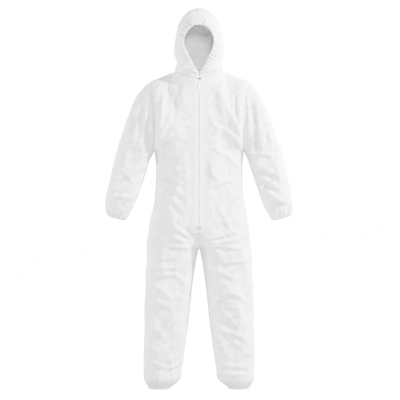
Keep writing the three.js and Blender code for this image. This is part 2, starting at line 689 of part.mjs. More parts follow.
// Stands the arch up: its length along the zip, its height towards -Y.
crown.applyMatrix4(
  new THREE.Matrix4().makeBasis(
    new THREE.Vector3(0, 0, 1), new THREE.Vector3(0, -1, 0), new THREE.Vector3(1, 0, 0),
  ),
);
crown.translate(0, plateFaceY, barZ);

// Joins closed shapes into one body.
const wasm = await Module();
wasm.setup();
function joined(...shapes) {
  const solids = shapes.map((shape) => {
    const bare = shape.clone();
    bare.deleteAttribute('normal');
    bare.deleteAttribute('uv');
    const merged = mergeVertices(bare, 1e-4);
    return new wasm.Manifold(
      new wasm.Mesh({
        numProp: 3,
        vertProperties: new Float32Array(merged.attributes.position.array),
        triVerts: new Uint32Array(merged.index.array),
      }),
    );
  });
  const whole = solids.reduce((sum, solid) => sum.add(solid)).getMesh();
  const geometry = new THREE.BufferGeometry();
  geometry.setAttribute('position', new THREE.BufferAttribute(whole.vertProperties, 3));
  geometry.setIndex(new THREE.BufferAttribute(whole.triVerts, 1));
  geometry.computeVertexNormals();
  return geometry;
}
addToZip('slider_body', joined(plates, crown), METAL);

// The pull tab hangs from the crown by the bar at the top of its window.
const windowHalf = CROWN_WIDTH / 2 + GAP;
const windowTall = archHalf + CROWN_THICK + archTall + GAP;
const tab = new THREE.Shape();
tab.moveTo(-TAB_WIDTH / 2, BAR / 2);
tab.lineTo(-TAB_WIDTH / 2, -TAB_LENGTH + TAB_WIDTH / 2);
tab.absarc(0, -TAB_LENGTH + TAB_WIDTH / 2, TAB_WIDTH / 2, Math.PI, 2 * Math.PI, false);
tab.lineTo(TAB_WIDTH / 2, BAR / 2);
tab.closePath();
const slot = new THREE.Path();
slot.moveTo(-windowHalf, -BAR / 2);
slot.lineTo(windowHalf, -BAR / 2);
slot.lineTo(windowHalf, -BAR / 2 - windowTall);
slot.lineTo(-windowHalf, -BAR / 2 - windowTall);
slot.closePath();
tab.holes.push(slot);
const tabPlate = new THREE.ExtrudeGeometry(tab, { depth: BAR, bevelEnabled: false, curveSegments: 8 });
tabPlate.translate(0, 0, -BAR / 2);
tabPlate.rotateX(Math.PI / 2);
tabPlate.translate(0, plateFaceY - GAP - BAR / 2, barZ);
addToZip('pull_tab', tabPlate, METAL);

export default suit;
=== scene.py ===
import bpy
import numpy as np
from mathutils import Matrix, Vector


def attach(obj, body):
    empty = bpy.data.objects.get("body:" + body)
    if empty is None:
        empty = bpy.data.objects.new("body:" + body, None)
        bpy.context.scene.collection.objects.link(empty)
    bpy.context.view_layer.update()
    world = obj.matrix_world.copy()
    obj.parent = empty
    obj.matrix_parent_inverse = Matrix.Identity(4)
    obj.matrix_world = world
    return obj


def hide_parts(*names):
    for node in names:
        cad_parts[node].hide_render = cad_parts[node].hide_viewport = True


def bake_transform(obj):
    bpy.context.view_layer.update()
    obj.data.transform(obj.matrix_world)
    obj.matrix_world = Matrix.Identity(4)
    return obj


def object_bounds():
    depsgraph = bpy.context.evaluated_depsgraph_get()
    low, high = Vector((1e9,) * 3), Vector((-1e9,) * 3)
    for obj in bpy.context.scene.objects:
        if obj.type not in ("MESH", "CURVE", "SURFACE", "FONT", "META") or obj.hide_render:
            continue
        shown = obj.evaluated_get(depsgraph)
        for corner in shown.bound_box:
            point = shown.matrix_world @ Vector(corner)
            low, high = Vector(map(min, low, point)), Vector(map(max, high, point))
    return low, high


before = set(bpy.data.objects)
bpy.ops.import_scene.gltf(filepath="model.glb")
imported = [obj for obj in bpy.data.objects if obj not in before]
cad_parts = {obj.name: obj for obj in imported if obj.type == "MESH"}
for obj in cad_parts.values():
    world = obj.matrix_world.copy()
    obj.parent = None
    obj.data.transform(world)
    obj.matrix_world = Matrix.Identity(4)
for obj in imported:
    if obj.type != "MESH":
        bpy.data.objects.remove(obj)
cad_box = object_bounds()

# ---- Camera ----------------------------------------------------------------------------------
# A long lens at chest height, square to the suit's front, so that the suit fills the frame.
LENS_MM, SENSOR_MM, AWAY = 120.0, 36.0, 6.1
LOOK_AT = Vector((0.0045, 0.0, 0.861))
EYE_HEIGHT = 0.92
camera = bpy.data.objects.new("camera", bpy.data.cameras.new("camera"))
bpy.context.scene.collection.objects.link(camera)
camera.data.lens, camera.data.sensor_width = LENS_MM, SENSOR_MM
camera.location = (LOOK_AT.x, -AWAY, EYE_HEIGHT)
camera.rotation_euler = (LOOK_AT - camera.location).to_track_quat("-Z", "Y").to_euler()
bpy.context.scene.camera = camera


# ---- Studio: a white floor and soft lamps ----------------------------------------------------
# The floor and the air behind are burnt out to white. Soft lamps rake the cloth: a key high on
# the suit's left, a fill on its right and a weak one in front, with the same again behind it.
class Shader:
    """A material's nodes, made one by one. add() takes a node's type, settings and sockets."""

    def __init__(self, name):
        self.material = bpy.data.materials.new(name)
        self.material.use_nodes = True
        self.tree = self.material.node_tree
        self.surface = self.tree.nodes["Principled BSDF"]

    def add(self, kind, settings=None, out=0, **sockets):
        node = self.tree.nodes.new("ShaderNode" + kind)
        for key, value in (settings or {}).items():
            setattr(node, key, value)
        for key, value in sockets.items():
            self.put(node.inputs[key.replace("_", " ")] if not key[-1].isdigit()
                     else node.inputs[int(key.lstrip("in"))], value)
        return Value(self, node.outputs[out])

    def put(self, socket, value):
        if isinstance(value, Value):
            self.tree.links.new(value.socket, socket)
        else:
            socket.default_value = value

    def set(self, **sockets):
        for key, value in sockets.items():
            self.put(self.surface.inputs[key.replace("_", " ")], value)
        return self.material


class Value:
    """A shader value. Arithmetic on it adds the Math nodes."""

    def __init__(self, shader, socket):
        self.shader, self.socket = shader, socket

    def math(self, operation, *others):
        spots = {f"in{k + 1}": other for k, other in enumerate(others)}
        return self.shader.add("Math", {"operation": operation}, in0=self, **spots)

    def __add__(self, other):
        return self.math("ADD", other)

    def __mul__(self, other):
        return self.math("MULTIPLY", other)

    __radd__, __rmul__ = __add__, __mul__


paper = Shader("white_floor_paper")
paper_noise = paper.add("TexNoise", Scale=3.0, Detail=2.0, Vector=paper.add("TexCoord", out=3))
seen_straight = paper.add("LightPath", out=0)  # the paper looks burnt out, but lights nothing
glow = paper.add("ValToRGB", Fac=seen_straight)
paper.set(Base_Color=(0.4, 0.4, 0.4, 1), Roughness=0.93 + 0.05 * paper_noise,
          Emission_Color=glow, Emission_Strength=16.0)


def grid_mesh(name, points, faces, uv=None, sharp=None):
    """A mesh from an array of points and an array of four-cornered faces. Edges between the
    points named in sharp stay crisp, and all the others are shaded smoothly."""
    mesh = bpy.data.meshes.new(name)
    mesh.vertices.add(len(points))
    mesh.vertices.foreach_set("co", np.asarray(points, np.float32).ravel())
    mesh.loops.add(faces.size)
    mesh.loops.foreach_set("vertex_index", faces.ravel().astype(np.int32))
    mesh.polygons.add(len(faces))
    mesh.polygons.foreach_set("loop_start", np.arange(0, faces.size, 4, dtype=np.int32))
    mesh.polygons.foreach_set("use_smooth", np.ones(len(faces), bool))
    if uv is not None:
        layer = mesh.uv_layers.new(name="cloth")
        layer.data.foreach_set("uv", uv[faces.ravel()].astype(np.float32).ravel())
    mesh.update(calc_edges=True)
    if sharp is not None:
        ends = np.empty(2 * len(mesh.edges), np.int32)
        mesh.edges.foreach_get("vertices", ends)
        ring = np.zeros(len(points), np.int32)
        ring[sharp] = 1 + (sharp >= len(points) // 2)
        pair = ring[ends.reshape(-1, 2)]
        crease = mesh.attributes.new("sharp_edge", "BOOLEAN", "EDGE")
        crease.data.foreach_set("value", (pair[:, 0] > 0) & (pair[:, 0] == pair[:, 1]))
    mesh.validate()
    obj = bpy.data.objects.new(name, mesh)
    bpy.context.scene.collection.objects.link(obj)
    return obj


def grid_faces(rows, columns, flip=False):
    """Four-cornered faces of a grid whose points run along its columns first."""
    first = (np.arange(rows - 1)[:, None] * columns + np.arange(columns - 1)).ravel()
    faces = np.stack([first, first + 1, first + columns + 1, first + columns], 1)
    return faces[:, ::-1] if flip else faces


floor_x, floor_y = np.meshgrid(np.linspace(-30, 30, 13), np.linspace(-30, 30, 13))
floor_z = np.full(floor_x.size, cad_box[0][2] - 0.012)
floor_points = np.stack([floor_x.ravel(), floor_y.ravel(), floor_z], 1)
paper_floor = grid_mesh("white_floor", floor_points, grid_faces(13, 13))
paper_floor.data.materials.append(paper.material)

LAMPS = {  # place, size and power of each soft lamp; all of them point at the chest
    "key_lamp": ((3.1, -1.6, 2.9), 0.45, 1150),
    "fill_lamp": ((-3.4, -1.4, 1.6), 0.7, 290),
    "front_lamp": ((0.5, -5.0, 2.2), 1.0, 330),
    "back_lamp": ((2.7, 2.0, 2.9), 0.6, 760),
    "back_fill_lamp": ((-3.2, 1.8, 1.6), 0.9, 260),
    "back_front_lamp": ((-0.5, 5.0, 2.2), 1.0, 270),
}
for name, (place, size, power) in LAMPS.items():
    lamp = bpy.data.objects.new(name, bpy.data.lights.new(name, "AREA"))
    lamp.data.energy, lamp.data.size = power, size
    lamp.location = place
    lamp.rotation_euler = (Vector((0, 0, 1.0)) - lamp.location).to_track_quat("-Z", "Y").to_euler()
    bpy.context.scene.collection.objects.link(lamp)
world = bpy.data.worlds.new("studio_air")
world.use_nodes = True
air = world.node_tree.nodes
air["Background"].inputs["Strength"].default_value = 0.10
air["Background"].inputs["Color"].default_value = (1, 1, 1, 1)
burnt_out = air.new("ShaderNodeBackground")
burnt_out.inputs["Strength"].default_value = 18.0
burnt_out.inputs["Color"].default_value = (1, 1, 1, 1)
seen, choice = air.new("ShaderNodeLightPath"), air.new("ShaderNodeMixShader")
for start, end in ((seen.outputs[0], choice.inputs[0]),
                   (air["Background"].outputs[0], choice.inputs[1]),
                   (burnt_out.outputs[0], choice.inputs[2]),
                   (choice.outputs[0], air["World Output"].inputs[0])):
    world.node_tree.links.new(start, end)
bpy.context.scene.world = world


# ---- Body panels: trunk and legs -------------------------------------------------------------
# Four pieces of light white nonwoven, each cut in one from the shoulder to the ankle, and sewn
# at the sides, the inside legs, the shoulders and the centre back. Here each is cut again at the
# crotch and the thigh, where the legs flex, with the same edge on both sides of the cut.
CLOTH_THICK = 0.0005
CELL = 0.005  # how far apart the points of the cloth lie
CROTCH, FORK_TOP, ARMPIT, SHOULDER = 0.640, 0.740, 1.086, 1.404
THIGH_CUT = 0.465  # the upper and lower halves of a leg meet here
WAIST = 0.968
ZIP_TOP, ZIP_BOTTOM = np.array([0.0, -0.104, 1.411]), np.array([0.0, -0.132, 0.743])
NECK_SIDE, NAPE = (0.112, 1.447), (0.078, 1.472)
ARMPIT_X, SHOULDER_X = 0.204, 0.222
ANKLE_FROM = 0.075
SQUARENESS = 0.86


def curve(*pairs):
    """A smooth value along (place, value) pairs: cubic pieces whose slopes at a pair are those of
    the chord between its neighbours, held flat past both ends."""
    x, y = np.array(sorted(pairs), float).T
    low, high = np.maximum(np.arange(len(x)) - 1, 0), np.minimum(np.arange(len(x)) + 1, len(x) - 1)
    slope = (y[high] - y[low]) / (x[high] - x[low])

    def value(at):
        at = np.clip(at, x[0], x[-1])
        k = np.clip(np.searchsorted(x, at, "right") - 1, 0, len(x) - 2)
        span = x[k + 1] - x[k]
        t = (at - x[k]) / span
        return ((2 * t**3 - 3 * t**2 + 1) * y[k] + (t**3 - 2 * t**2 + t) * span * slope[k]
                + (3 * t**2 - 2 * t**3) * y[k + 1] + (t**3 - t**2) * span * slope[k + 1])

    return value


def ease(start, end, x):
    """Turns smoothly from 0 at start to 1 at end."""
    t = np.clip((x - start) / (end - start), 0, 1)
    return t * t * (3 - 2 * t)


def mix(a, b, t):
    return a + (b - a) * t


def rounded(value):
    return np.sign(value) * np.abs(value) ** SQUARENESS


def spot(x, y, z):
    return np.stack(np.broadcast_arrays(x, y, z), -1)


side_x = curve((ARMPIT, ARMPIT_X), (1.03, 0.199), (WAIST, 0.197), (0.92, 0.199), (0.853, 0.206),
               (0.738, 0.230), (CROTCH, 0.239), (0.46, 0.247), (0.29, 0.252), (ANKLE_FROM, 0.255))
inseam_x = curve((CROTCH, 0.0), (0.585, 0.012), (0.53, 0.021), (0.46, 0.031), (0.29, 0.049),
                 (ANKLE_FROM, 0.079))
back_depth = curve((NAPE[1], NAPE[0]), (1.213, 0.128), (WAIST, 0.112), (FORK_TOP, 0.134),
                   (CROTCH, 0.122))
leg_depth = curve((CROTCH, 0.122), (0.375, 0.106), (ANKLE_FROM, 0.094))


def zip_y(z):
    return mix(ZIP_BOTTOM[1], ZIP_TOP[1], (z - ZIP_BOTTOM[2]) / (ZIP_TOP[2] - ZIP_BOTTOM[2]))


def trunk_surface(side, face, t, height, fork):
    """An oval section at a height: t runs from the centre (0) to the side seam (1). As fork goes
    to 1 the oval narrows from the whole trunk's half to one leg, and its centre edge dips."""
    a = side_x(height)
    centre = fork * a / 2
    angle = np.arccos(-fork / (2 - fork)) * (1 - t)
    top = np.maximum(height, FORK_TOP)
    depth = mix(-zip_y(top) if face < 0 else back_depth(top), 0.122, fork)
    centre_z = np.where(fork > 0, FORK_TOP - (FORK_TOP - CROTCH) * fork / (2 - fork), height)
    x = np.maximum(centre + (a - centre) * rounded(np.cos(angle)), 0)
    z = mix(centre_z, height, ease(0, 1, t))
    return spot(side * x, face * depth * rounded(np.sin(angle)), z)


def armhole(side, angle):
    """The armhole's loop: angle 0 is the shoulder tip, a half turn the armpit."""
    share = (1 + np.cos(angle)) / 2
    return spot(side * (mix(ARMPIT_X, SHOULDER_X, share) - 0.014 * np.sin(angle) ** 2),
                -0.084 * rounded(np.sin(angle)), mix(ARMPIT, SHOULDER, share))


def neck_seam(side, face, t):
    """The neck seam from the centre (0) to the shoulder seam (1): a quarter of an oval."""
    centre_y, centre_z = (ZIP_TOP[1], ZIP_TOP[2]) if face < 0 else NAPE
    angle = t * np.pi / 2
    return spot(side * NECK_SIDE[0] * np.sin(angle), centre_y * np.cos(angle),
                mix(centre_z, NECK_SIDE[1], np.sin(angle) ** 1.4))


def yoke_surface(side, face, t, v):
    """The patch spanned between the armpit row, the armhole, the neck and shoulder, and the
    centre line: the four edges are blended across, and the corners counted once."""
    top_from = neck_seam(side, face, np.clip(2 * t, 0, 1))
    tip = armhole(side, np.zeros_like(t))
    shoulder = mix(neck_seam(side, face, np.ones_like(t)), tip, np.clip(2 * t - 1, 0, 1)[..., None])
    top = np.where((t <= 0.5)[..., None], top_from, shoulder)
    high = np.full_like(t, ARMPIT)
    bottom = trunk_surface(side, face, t, high, 0 * t)
    z = mix(ARMPIT, ZIP_TOP[2] if face < 0 else NAPE[1], v)
    centre = spot(0, zip_y(z) if face < 0 else back_depth(z), z)
    edge = armhole(side, -face * np.pi * (1 - v))
    out, up = ease(0, 1, t)[..., None], v[..., None] ** 2.2
    corner = [trunk_surface(side, face, high * 0 + k, high, 0 * high) for k in (0, 1)]
    corner_top = [neck_seam(side, face, 0 * t), tip]
    return (bottom * (1 - up) + top * up + centre * (1 - out) + edge * out
            - corner[0] * (1 - out) * (1 - up) - corner[1] * out * (1 - up)
            - corner_top[0] * (1 - out) * up - corner_top[1] * out * up)


def leg_surface(side, turn, height):
    """A leg's oval: turn 0 is the side seam, 0.25 the front. It draws in at the ankle's elastic."""
    angle = turn * 2 * np.pi
    gather = ease(ANKLE_FROM, 0, height) ** 2.3
    middle = mix((side_x(height) + inseam_x(height)) / 2, 0.182, gather)
    half = mix((side_x(height) - inseam_x(height)) / 2, 0.047, gather)
    depth = mix(leg_depth(height), 0.05, gather)
    x = side * (middle + half * rounded(np.cos(angle)))
    return spot(x, -depth * rounded(np.sin(angle)), height)


def row_heights(*levels):
    """Rows about one cell apart between each pair of levels, with every level on a row."""
    rows = [np.linspace(a, b, max(int(round((b - a) / CELL)), 1), endpoint=False)
            for a, b in zip(levels, levels[1:])]
    return np.concatenate(rows + [levels[-1:]])


LEG_ROWS = row_heights(0.0, THIGH_CUT, CROTCH)
FORK_ROWS = row_heights(0.0, 0.17) / 0.17
TRUNK_ROWS = row_heights(FORK_TOP, ARMPIT)
YOKE_ROWS = row_heights(0.0, 0.33) / 0.33
ACROSS = np.concatenate([[0, 0.005, 0.012, 0.022], np.linspace(0.035, 0.965, 58),
                         [0.978, 0.988, 0.995, 1]])  # finer towards the seams


def body_panel(side, face):
    """One whole body panel, ankle to neck, as (rows, columns, 3) points."""
    t = ACROSS[None]

    def on(rows):
        return np.broadcast_arrays(t, rows[:, None])

    s, z = on(LEG_ROWS[:-1])
    turn = (1 - s) / 2
    leg = leg_surface(side, turn if face < 0 else 1 - turn, z)
    s, f = on(1 - FORK_ROWS[:-1])
    fork = trunk_surface(side, face, s, mix(FORK_TOP, CROTCH, f), f)
    s, z = on(TRUNK_ROWS[:-1])
    trunk = trunk_surface(side, face, s, z, 0 * z)
    s, v = on(YOKE_ROWS)
    return np.concatenate([leg, fork, trunk, yoke_surface(side, face, s.copy(), v.copy())])


def normals_of(points, outward_from):
    """Unit normals of a grid from the cross product of its two directions of change."""
    normal = np.cross(np.gradient(points, axis=1), np.gradient(points, axis=0))
    normal /= np.maximum(np.linalg.norm(normal, axis=-1, keepdims=True), 1e-12)
    middle = tuple(n // 2 for n in points.shape[:2])
    sign = np.sign(np.dot(normal[middle], points[middle] - np.asarray(outward_from)))
    return normal * sign


# The cloth is crisp: it crumples into shallow facets with sharp ridges between them. The same
# fields, read at a point in space, run on unbroken from one piece to the next.
def soft_field(points, wavelength, seed, stretch=(1, 1, 1)):
    """A smooth random height of about unit size: the mean of many plane waves whose directions
    and phases are drawn at random, around one wavelength. stretch draws it out along an axis."""
    draw = np.random.default_rng(seed)
    ways = draw.normal(size=(22, 3))
    ways /= np.linalg.norm(ways, axis=1, keepdims=True)
    ways *= 2 * np.pi / wavelength * draw.uniform(0.6, 1.5, (22, 1)) / np.asarray(stretch)
    phase = draw.uniform(0, 2 * np.pi, 22)
    return np.sin(points @ ways.T + phase).sum(-1) / np.sqrt(11)


def ridge_field(points, wavelength, seed, stretch=(1, 1, 1)):
    """Sharp ridges between shallow facets: 1 where a soft field is zero, falling away from it."""
    return np.exp(-1.6 * np.abs(soft_field(points, wavelength, seed, stretch))) - 0.45


FOLD_DEPTH = 1.5  # how deep the folds of the lists below are cut


def creases(points, lines):
    """Heights of single creases, seen square from the front: each (x0, z0, x1, z1, width, height)
    is a pointed ridge along its line with a trough below or beside it, and fades at both ends."""
    total = np.zeros(points.shape[:-1])
    x, z = points[..., 0], points[..., 2]
    for x0, z0, x1, z1, width, height in lines:
        length = np.hypot(x1 - x0, z1 - z0)
        run = ((x - x0) * (x1 - x0) + (z - z0) * (z1 - z0)) / length**2
        off = ((x - x0) * (z1 - z0) - (z - z0) * (x1 - x0)) / length / width
        off = off + 0.5 * np.sin(np.pi * run) * np.sign(z0 - z1 + 1e-9)
        fade = ease(-0.12, 0.35, run) * ease(1.12, 0.65, run)
        total += FOLD_DEPTH * height * fade * (np.exp(-np.abs(off) ** 1.35 * 1.3)
                                  - 0.5 * np.exp(-((off - 1.5) / 0.9) ** 2))
    return total


def crumple(points, normal, calm, stretch=(1, 1, 1), strength=1.0):
    """Moves a grid along its normals by the cloth's fields; calm is 1 where it must stay put."""
    height = (0.0040 * soft_field(points, 0.17, 3, stretch)
              + 0.0105 * ridge_field(points, 0.15, 11, stretch)
              + 0.0052 * ridge_field(points, 0.065, 17, stretch)
              + 0.0017 * ridge_field(points, 0.03, 23))
    facing = 0.2 + 0.8 * np.abs(normal[..., 1])  # the outline of the body stays even
    return points + normal * (strength * height * facing * (1 - calm))[..., None]


# Folds that each part of the front has, in metres on the front view: x0, z0, x1, z1, width, height.
BODY_FOLDS = [
    # from the side of the waist, fanning down and in towards the zip
    (-0.195, 0.985, -0.07, 0.93, 0.012, 0.006), (-0.195, 0.965, -0.055, 0.865, 0.014, 0.007),
    (-0.195, 0.945, -0.06, 0.795, 0.013, 0.006), (-0.2, 0.925, -0.11, 0.78, 0.014, 0.005),
    (0.195, 0.98, 0.06, 0.925, 0.012, 0.006), (0.195, 0.96, 0.05, 0.87, 0.013, 0.0065),
    (0.198, 0.94, 0.055, 0.81, 0.013, 0.0055), (0.2, 0.925, 0.12, 0.79, 0.014, 0.005),
    # above the waist, from the sides up and in
    (-0.195, 1.0, -0.1, 1.06, 0.012, 0.004), (0.195, 1.0, 0.11, 1.07, 0.012, 0.004),
    # from the armpits across the chest
    (-0.195, 1.1, -0.1, 1.19, 0.013, 0.006), (-0.19, 1.13, -0.12, 1.26, 0.012, 0.005),
    (0.195, 1.1, 0.11, 1.18, 0.013, 0.006), (0.19, 1.13, 0.13, 1.27, 0.012, 0.005),
    (-0.165, 1.36, -0.175, 1.17, 0.01, 0.006), (0.17, 1.35, 0.18, 1.17, 0.01, 0.005),
    (-0.07, 1.38, -0.1, 1.22, 0.016, 0.004), (0.08, 1.38, 0.11, 1.2, 0.016, 0.004),
    # whiskers that fan out from the crotch
    (-0.03, 0.675, -0.135, 0.76, 0.011, 0.008), (-0.03, 0.66, -0.18, 0.715, 0.011, 0.005),
    (-0.03, 0.645, -0.2, 0.655, 0.01, 0.005), (-0.02, 0.70, -0.07, 0.79, 0.01, 0.006),
    (0.03, 0.685, 0.2, 0.735, 0.011, 0.007), (0.03, 0.67, 0.205, 0.69, 0.011, 0.007),
    (0.03, 0.655, 0.2, 0.64, 0.011, 0.006), (0.02, 0.71, 0.1, 0.79, 0.01, 0.006),
]
LEG_FOLDS = [
    # small level creases on the right thigh, and the broad facet below them
    (-0.23, 0.60, -0.08, 0.605, 0.009, 0.004), (-0.22, 0.555, -0.07, 0.55, 0.009, 0.0045),
    (-0.23, 0.515, -0.1, 0.53, 0.009, 0.004), (-0.225, 0.49, -0.12, 0.41, 0.016, 0.007),
    (-0.045, 0.49, -0.12, 0.41, 0.015, 0.007),
    # long folds from the inside of the right knee
    (-0.045, 0.45, -0.185, 0.26, 0.014, 0.009), (-0.05, 0.38, -0.16, 0.215, 0.013, 0.008),
    (-0.06, 0.31, -0.14, 0.17, 0.012, 0.006), (-0.24, 0.40, -0.19, 0.27, 0.013, 0.005),
    (-0.235, 0.135, -0.15, 0.1, 0.009, 0.006), (-0.15, 0.1, -0.075, 0.125, 0.009, 0.006),
    # facets and long folds on the left leg
    (0.05, 0.40, 0.125, 0.45, 0.014, 0.006), (0.125, 0.45, 0.215, 0.4, 0.014, 0.007),
    (0.06, 0.22, 0.125, 0.27, 0.012, 0.006), (0.125, 0.27, 0.215, 0.225, 0.013, 0.007),
    (0.045, 0.40, 0.18, 0.28, 0.014, 0.008), (0.05, 0.32, 0.19, 0.19, 0.013, 0.007),
    (0.03, 0.56, 0.17, 0.5, 0.011, 0.005), (0.1, 0.58, 0.235, 0.6, 0.011, 0.005),
    (0.105, 0.115, 0.235, 0.095, 0.009, 0.006), (0.09, 0.07, 0.225, 0.07, 0.008, 0.005),
]


def front_of(normal):
    """1 where a surface faces the front, 0 where it faces the sides or the back."""
    return ease(0.15, 0.7, -normal[..., 1])


def back_folds(points):
    """The back's own folds: the front's, turned over left to right and a little lower."""
    return points * np.array([-1.0, 1.0, 1.0]) + np.array([0.012, 0.0, 0.018])


def gathers(along, across, reach, wavelength, seed):
    """Pleats drawn up by an elastic: waves along its edge, uneven in size and spacing, deepest
    a little way from the edge and gone past reach."""
    draw = np.random.default_rng(seed)
    wobble = sum(draw.uniform(0.3, 1.0) * np.sin(2 * np.pi * k * along / (wavelength * 13)
                                                 + draw.uniform(0, 6.28)) for k in range(1, 6))
    valley = (1 - np.cos(2 * np.pi * along / wavelength + 1.1 * wobble)) / 0.34
    wave = 0.4 - 1.4 * np.exp(-valley)
    size = 0.7 + 0.3 * np.sin(2 * np.pi * along / (wavelength * 5.3) + seed)
    return wave * size * ease(-0.2 * reach, 0.2 * reach, across) * ease(reach, 0.25 * reach, across)


def seam_wave(z, seed):
    """How far a side seam wanders, in metres: a smooth random wave of its height alone."""
    return 0.0012 * soft_field(spot(0.3, 0.1, np.asarray(z)), 0.14, seed)


def puckers(along, away, seed):
    """Small ripples that a row of stitches leaves across it, gone 2 cm away from the seam."""
    ripple = np.sin(2 * np.pi * along / 0.0125 + 2.2 * np.sin(along * 71 + seed))
    return 0.0008 * ripple * np.exp(-away / 0.011) * (1 - np.exp(-away / 0.0025))


def shape_body(side, face):
    """A body panel with its folds, gathers and crumples, the normals it was moved along, and the
    smooth surface that it started from."""
    base = body_panel(side, face)
    smooth = base.copy()
    rows, columns = base.shape[:2]
    normal = normals_of(base, (side * 0.1, 0, 1.0))
    t = np.broadcast_to(ACROSS[None], (rows, columns))
    x, z = base[..., 0].copy(), base[..., 2].copy()
    reach = 0.34 - 0.08 * ease(CROTCH, 0.2, z)  # the panel's width, roughly
    centre, edge = t * reach, (1 - t) * reach
    soft_edge = 1 - (1 - np.exp(-centre / 0.028)) * (1 - np.exp(-edge / 0.028))
    hold = np.maximum(soft_edge, np.maximum(ease(0.012, 0, centre), ease(0.012, 0, edge)))
    by_zip = ease(0.66, 0.76, z) * ease(0.0, 0.03, edge - centre) * (face < 0)
    hold = hold * (1 - by_zip)  # along the zip the tape holds the cloth instead
    if face < 0:
        hold = np.maximum(hold, ease(0.055, 0.026, np.abs(x)) * (z > ZIP_BOTTOM[2] - 0.03))
        base[..., 0] += side * 0.010 * ease(0.728, 0.743, z) * (1 - t) ** 2
    top = (np.arange(rows)[:, None] / (rows - 1) + 0 * t)
    hold = np.maximum(hold, ease(0.955, 1.0, top))
    hold = np.maximum(hold, ease(0.085, 0.012, z))
    calm = np.clip(hold, 0, 1)
    shown = base if face < 0 else back_folds(base)
    outward = front_of(normal) if face < 0 else front_of(-normal)
    height = creases(shown, BODY_FOLDS + LEG_FOLDS) * outward * (1 - calm)
    # the waist's elastic draws the cloth in and pleats it
    band = ease(0.2, 0.55, t) if face < 0 else ease(0.0, 0.1, t)
    around = t * reach if face < 0 else 2 * reach - t * reach
    pleat = np.sin(2 * np.pi * around / 0.019 + 1.6 * np.sin(around * 57 + side))
    height = height - 0.005 * np.exp(-((z - WAIST) / 0.012) ** 2) * band * (1 - calm)
    height = height + 0.0026 * pleat * band * np.exp(-((z - WAIST) / 0.036) ** 2) * (1 - calm)
    height = height + puckers(z + 0.3, edge, 1.0 + side) + puckers(z, centre, 2.0) * (face > 0)
    points = crumple(base, normal, calm)
    points = points + normal * height[..., None]
    # the ankle's gathers run on round the leg from the front panel to the back one
    turn = (1 - t) / 2 if face < 0 else 1 - (1 - t) / 2
    pucker = gathers(turn, z, 0.085, 1 / 19, 5 + side) * (z < 0.2)
    pucker = pucker + 0.85 * gathers(turn, z, 0.042, 1 / 27, 8 + side) * (z < 0.2)
    draw_in = 1 - 0.2 * ease(0.02, 0.0, z)
    points = points + normal * (0.0085 * pucker * draw_in + 0.003 * ease(0.009, 0, z))[..., None]
    # the seams wander a little, and their stitches pull the cloth in
    wander = seam_wave(z, 31 + side) * ease(0.0, 0.08, z) * ease(SHOULDER, ARMPIT - 0.02, z)
    points[..., 0] += side * wander * np.exp(-edge / 0.05)
    pinch = 0.0014 * np.exp(-edge / 0.0022) * (z < ARMPIT)
    points[..., 0] -= side * pinch
    if face > 0:
        points[..., 1] -= 0.0014 * np.exp(-centre / 0.0022) * (z > CROTCH)
    limit = 0.0102 * ease(0.728, 0.743, z) if face < 0 else 0.0
    points[..., 0] = side * np.maximum(side * points[..., 0], limit)
    return points, normal, smooth


def lengths(points, axis):
    """Distance travelled along one axis of a grid, counted from its first row or column."""
    step = np.linalg.norm(np.diff(points, axis=axis), axis=-1)
    start = np.zeros_like(step.take([0], axis))
    return np.concatenate([start, np.cumsum(step, axis=axis)], axis=axis)


def laid_flat(surface):
    """The width, length and area of a piece cut to cover a smooth surface: its longest row and
    longest column, and the sum of its cells, each half the cross product of its diagonals."""
    one, two = surface[1:, 1:] - surface[:-1, :-1], surface[1:, :-1] - surface[:-1, 1:]
    area = 0.5 * np.linalg.norm(np.cross(one, two), axis=-1).sum()
    size = float(lengths(surface, 1)[:, -1].max()), float(lengths(surface, 0)[-1].max())
    return {"flat": size, "area": float(area)}


def sheet_mesh(name, points, normal, thick=CLOTH_THICK):
    """A sheet with an outer and an inner face and a rim. Its UV map is in metres of cloth."""
    rows, columns = points.shape[:2]
    count = rows * columns
    both = np.concatenate([points.reshape(-1, 3), (points - normal * thick).reshape(-1, 3)])
    i, j = rows // 2, columns // 2
    turned = np.cross(points[i, j + 1] - points[i, j], points[i + 1, j] - points[i, j])
    flip = np.dot(turned, normal[i, j]) < 0
    index = np.arange(count).reshape(rows, columns)
    border = np.concatenate([index[0, :-1], index[:-1, -1], index[-1, :0:-1], index[:0:-1, 0]])
    after = np.roll(border, -1)
    rim = np.stack([border, border + count, after + count, after], 1)
    faces = np.concatenate([grid_faces(rows, columns, flip),
                            grid_faces(rows, columns, not flip) + count,
                            rim[:, ::-1] if flip else rim])
    along = np.broadcast_to(lengths(points, 0)[:, [columns // 2]], (rows, columns))
    uv = np.stack([lengths(points, 1), along], -1).reshape(-1, 2)
    rims = np.concatenate([border, border + count])
    return grid_mesh(name, both, faces, np.concatenate([uv, uv]), rims)


nonwoven = Shader("white_nonwoven")
cloth_uv = nonwoven.add("UVMap", {"uv_map": "cloth"})
in_space = nonwoven.add("TexCoord", out=3)
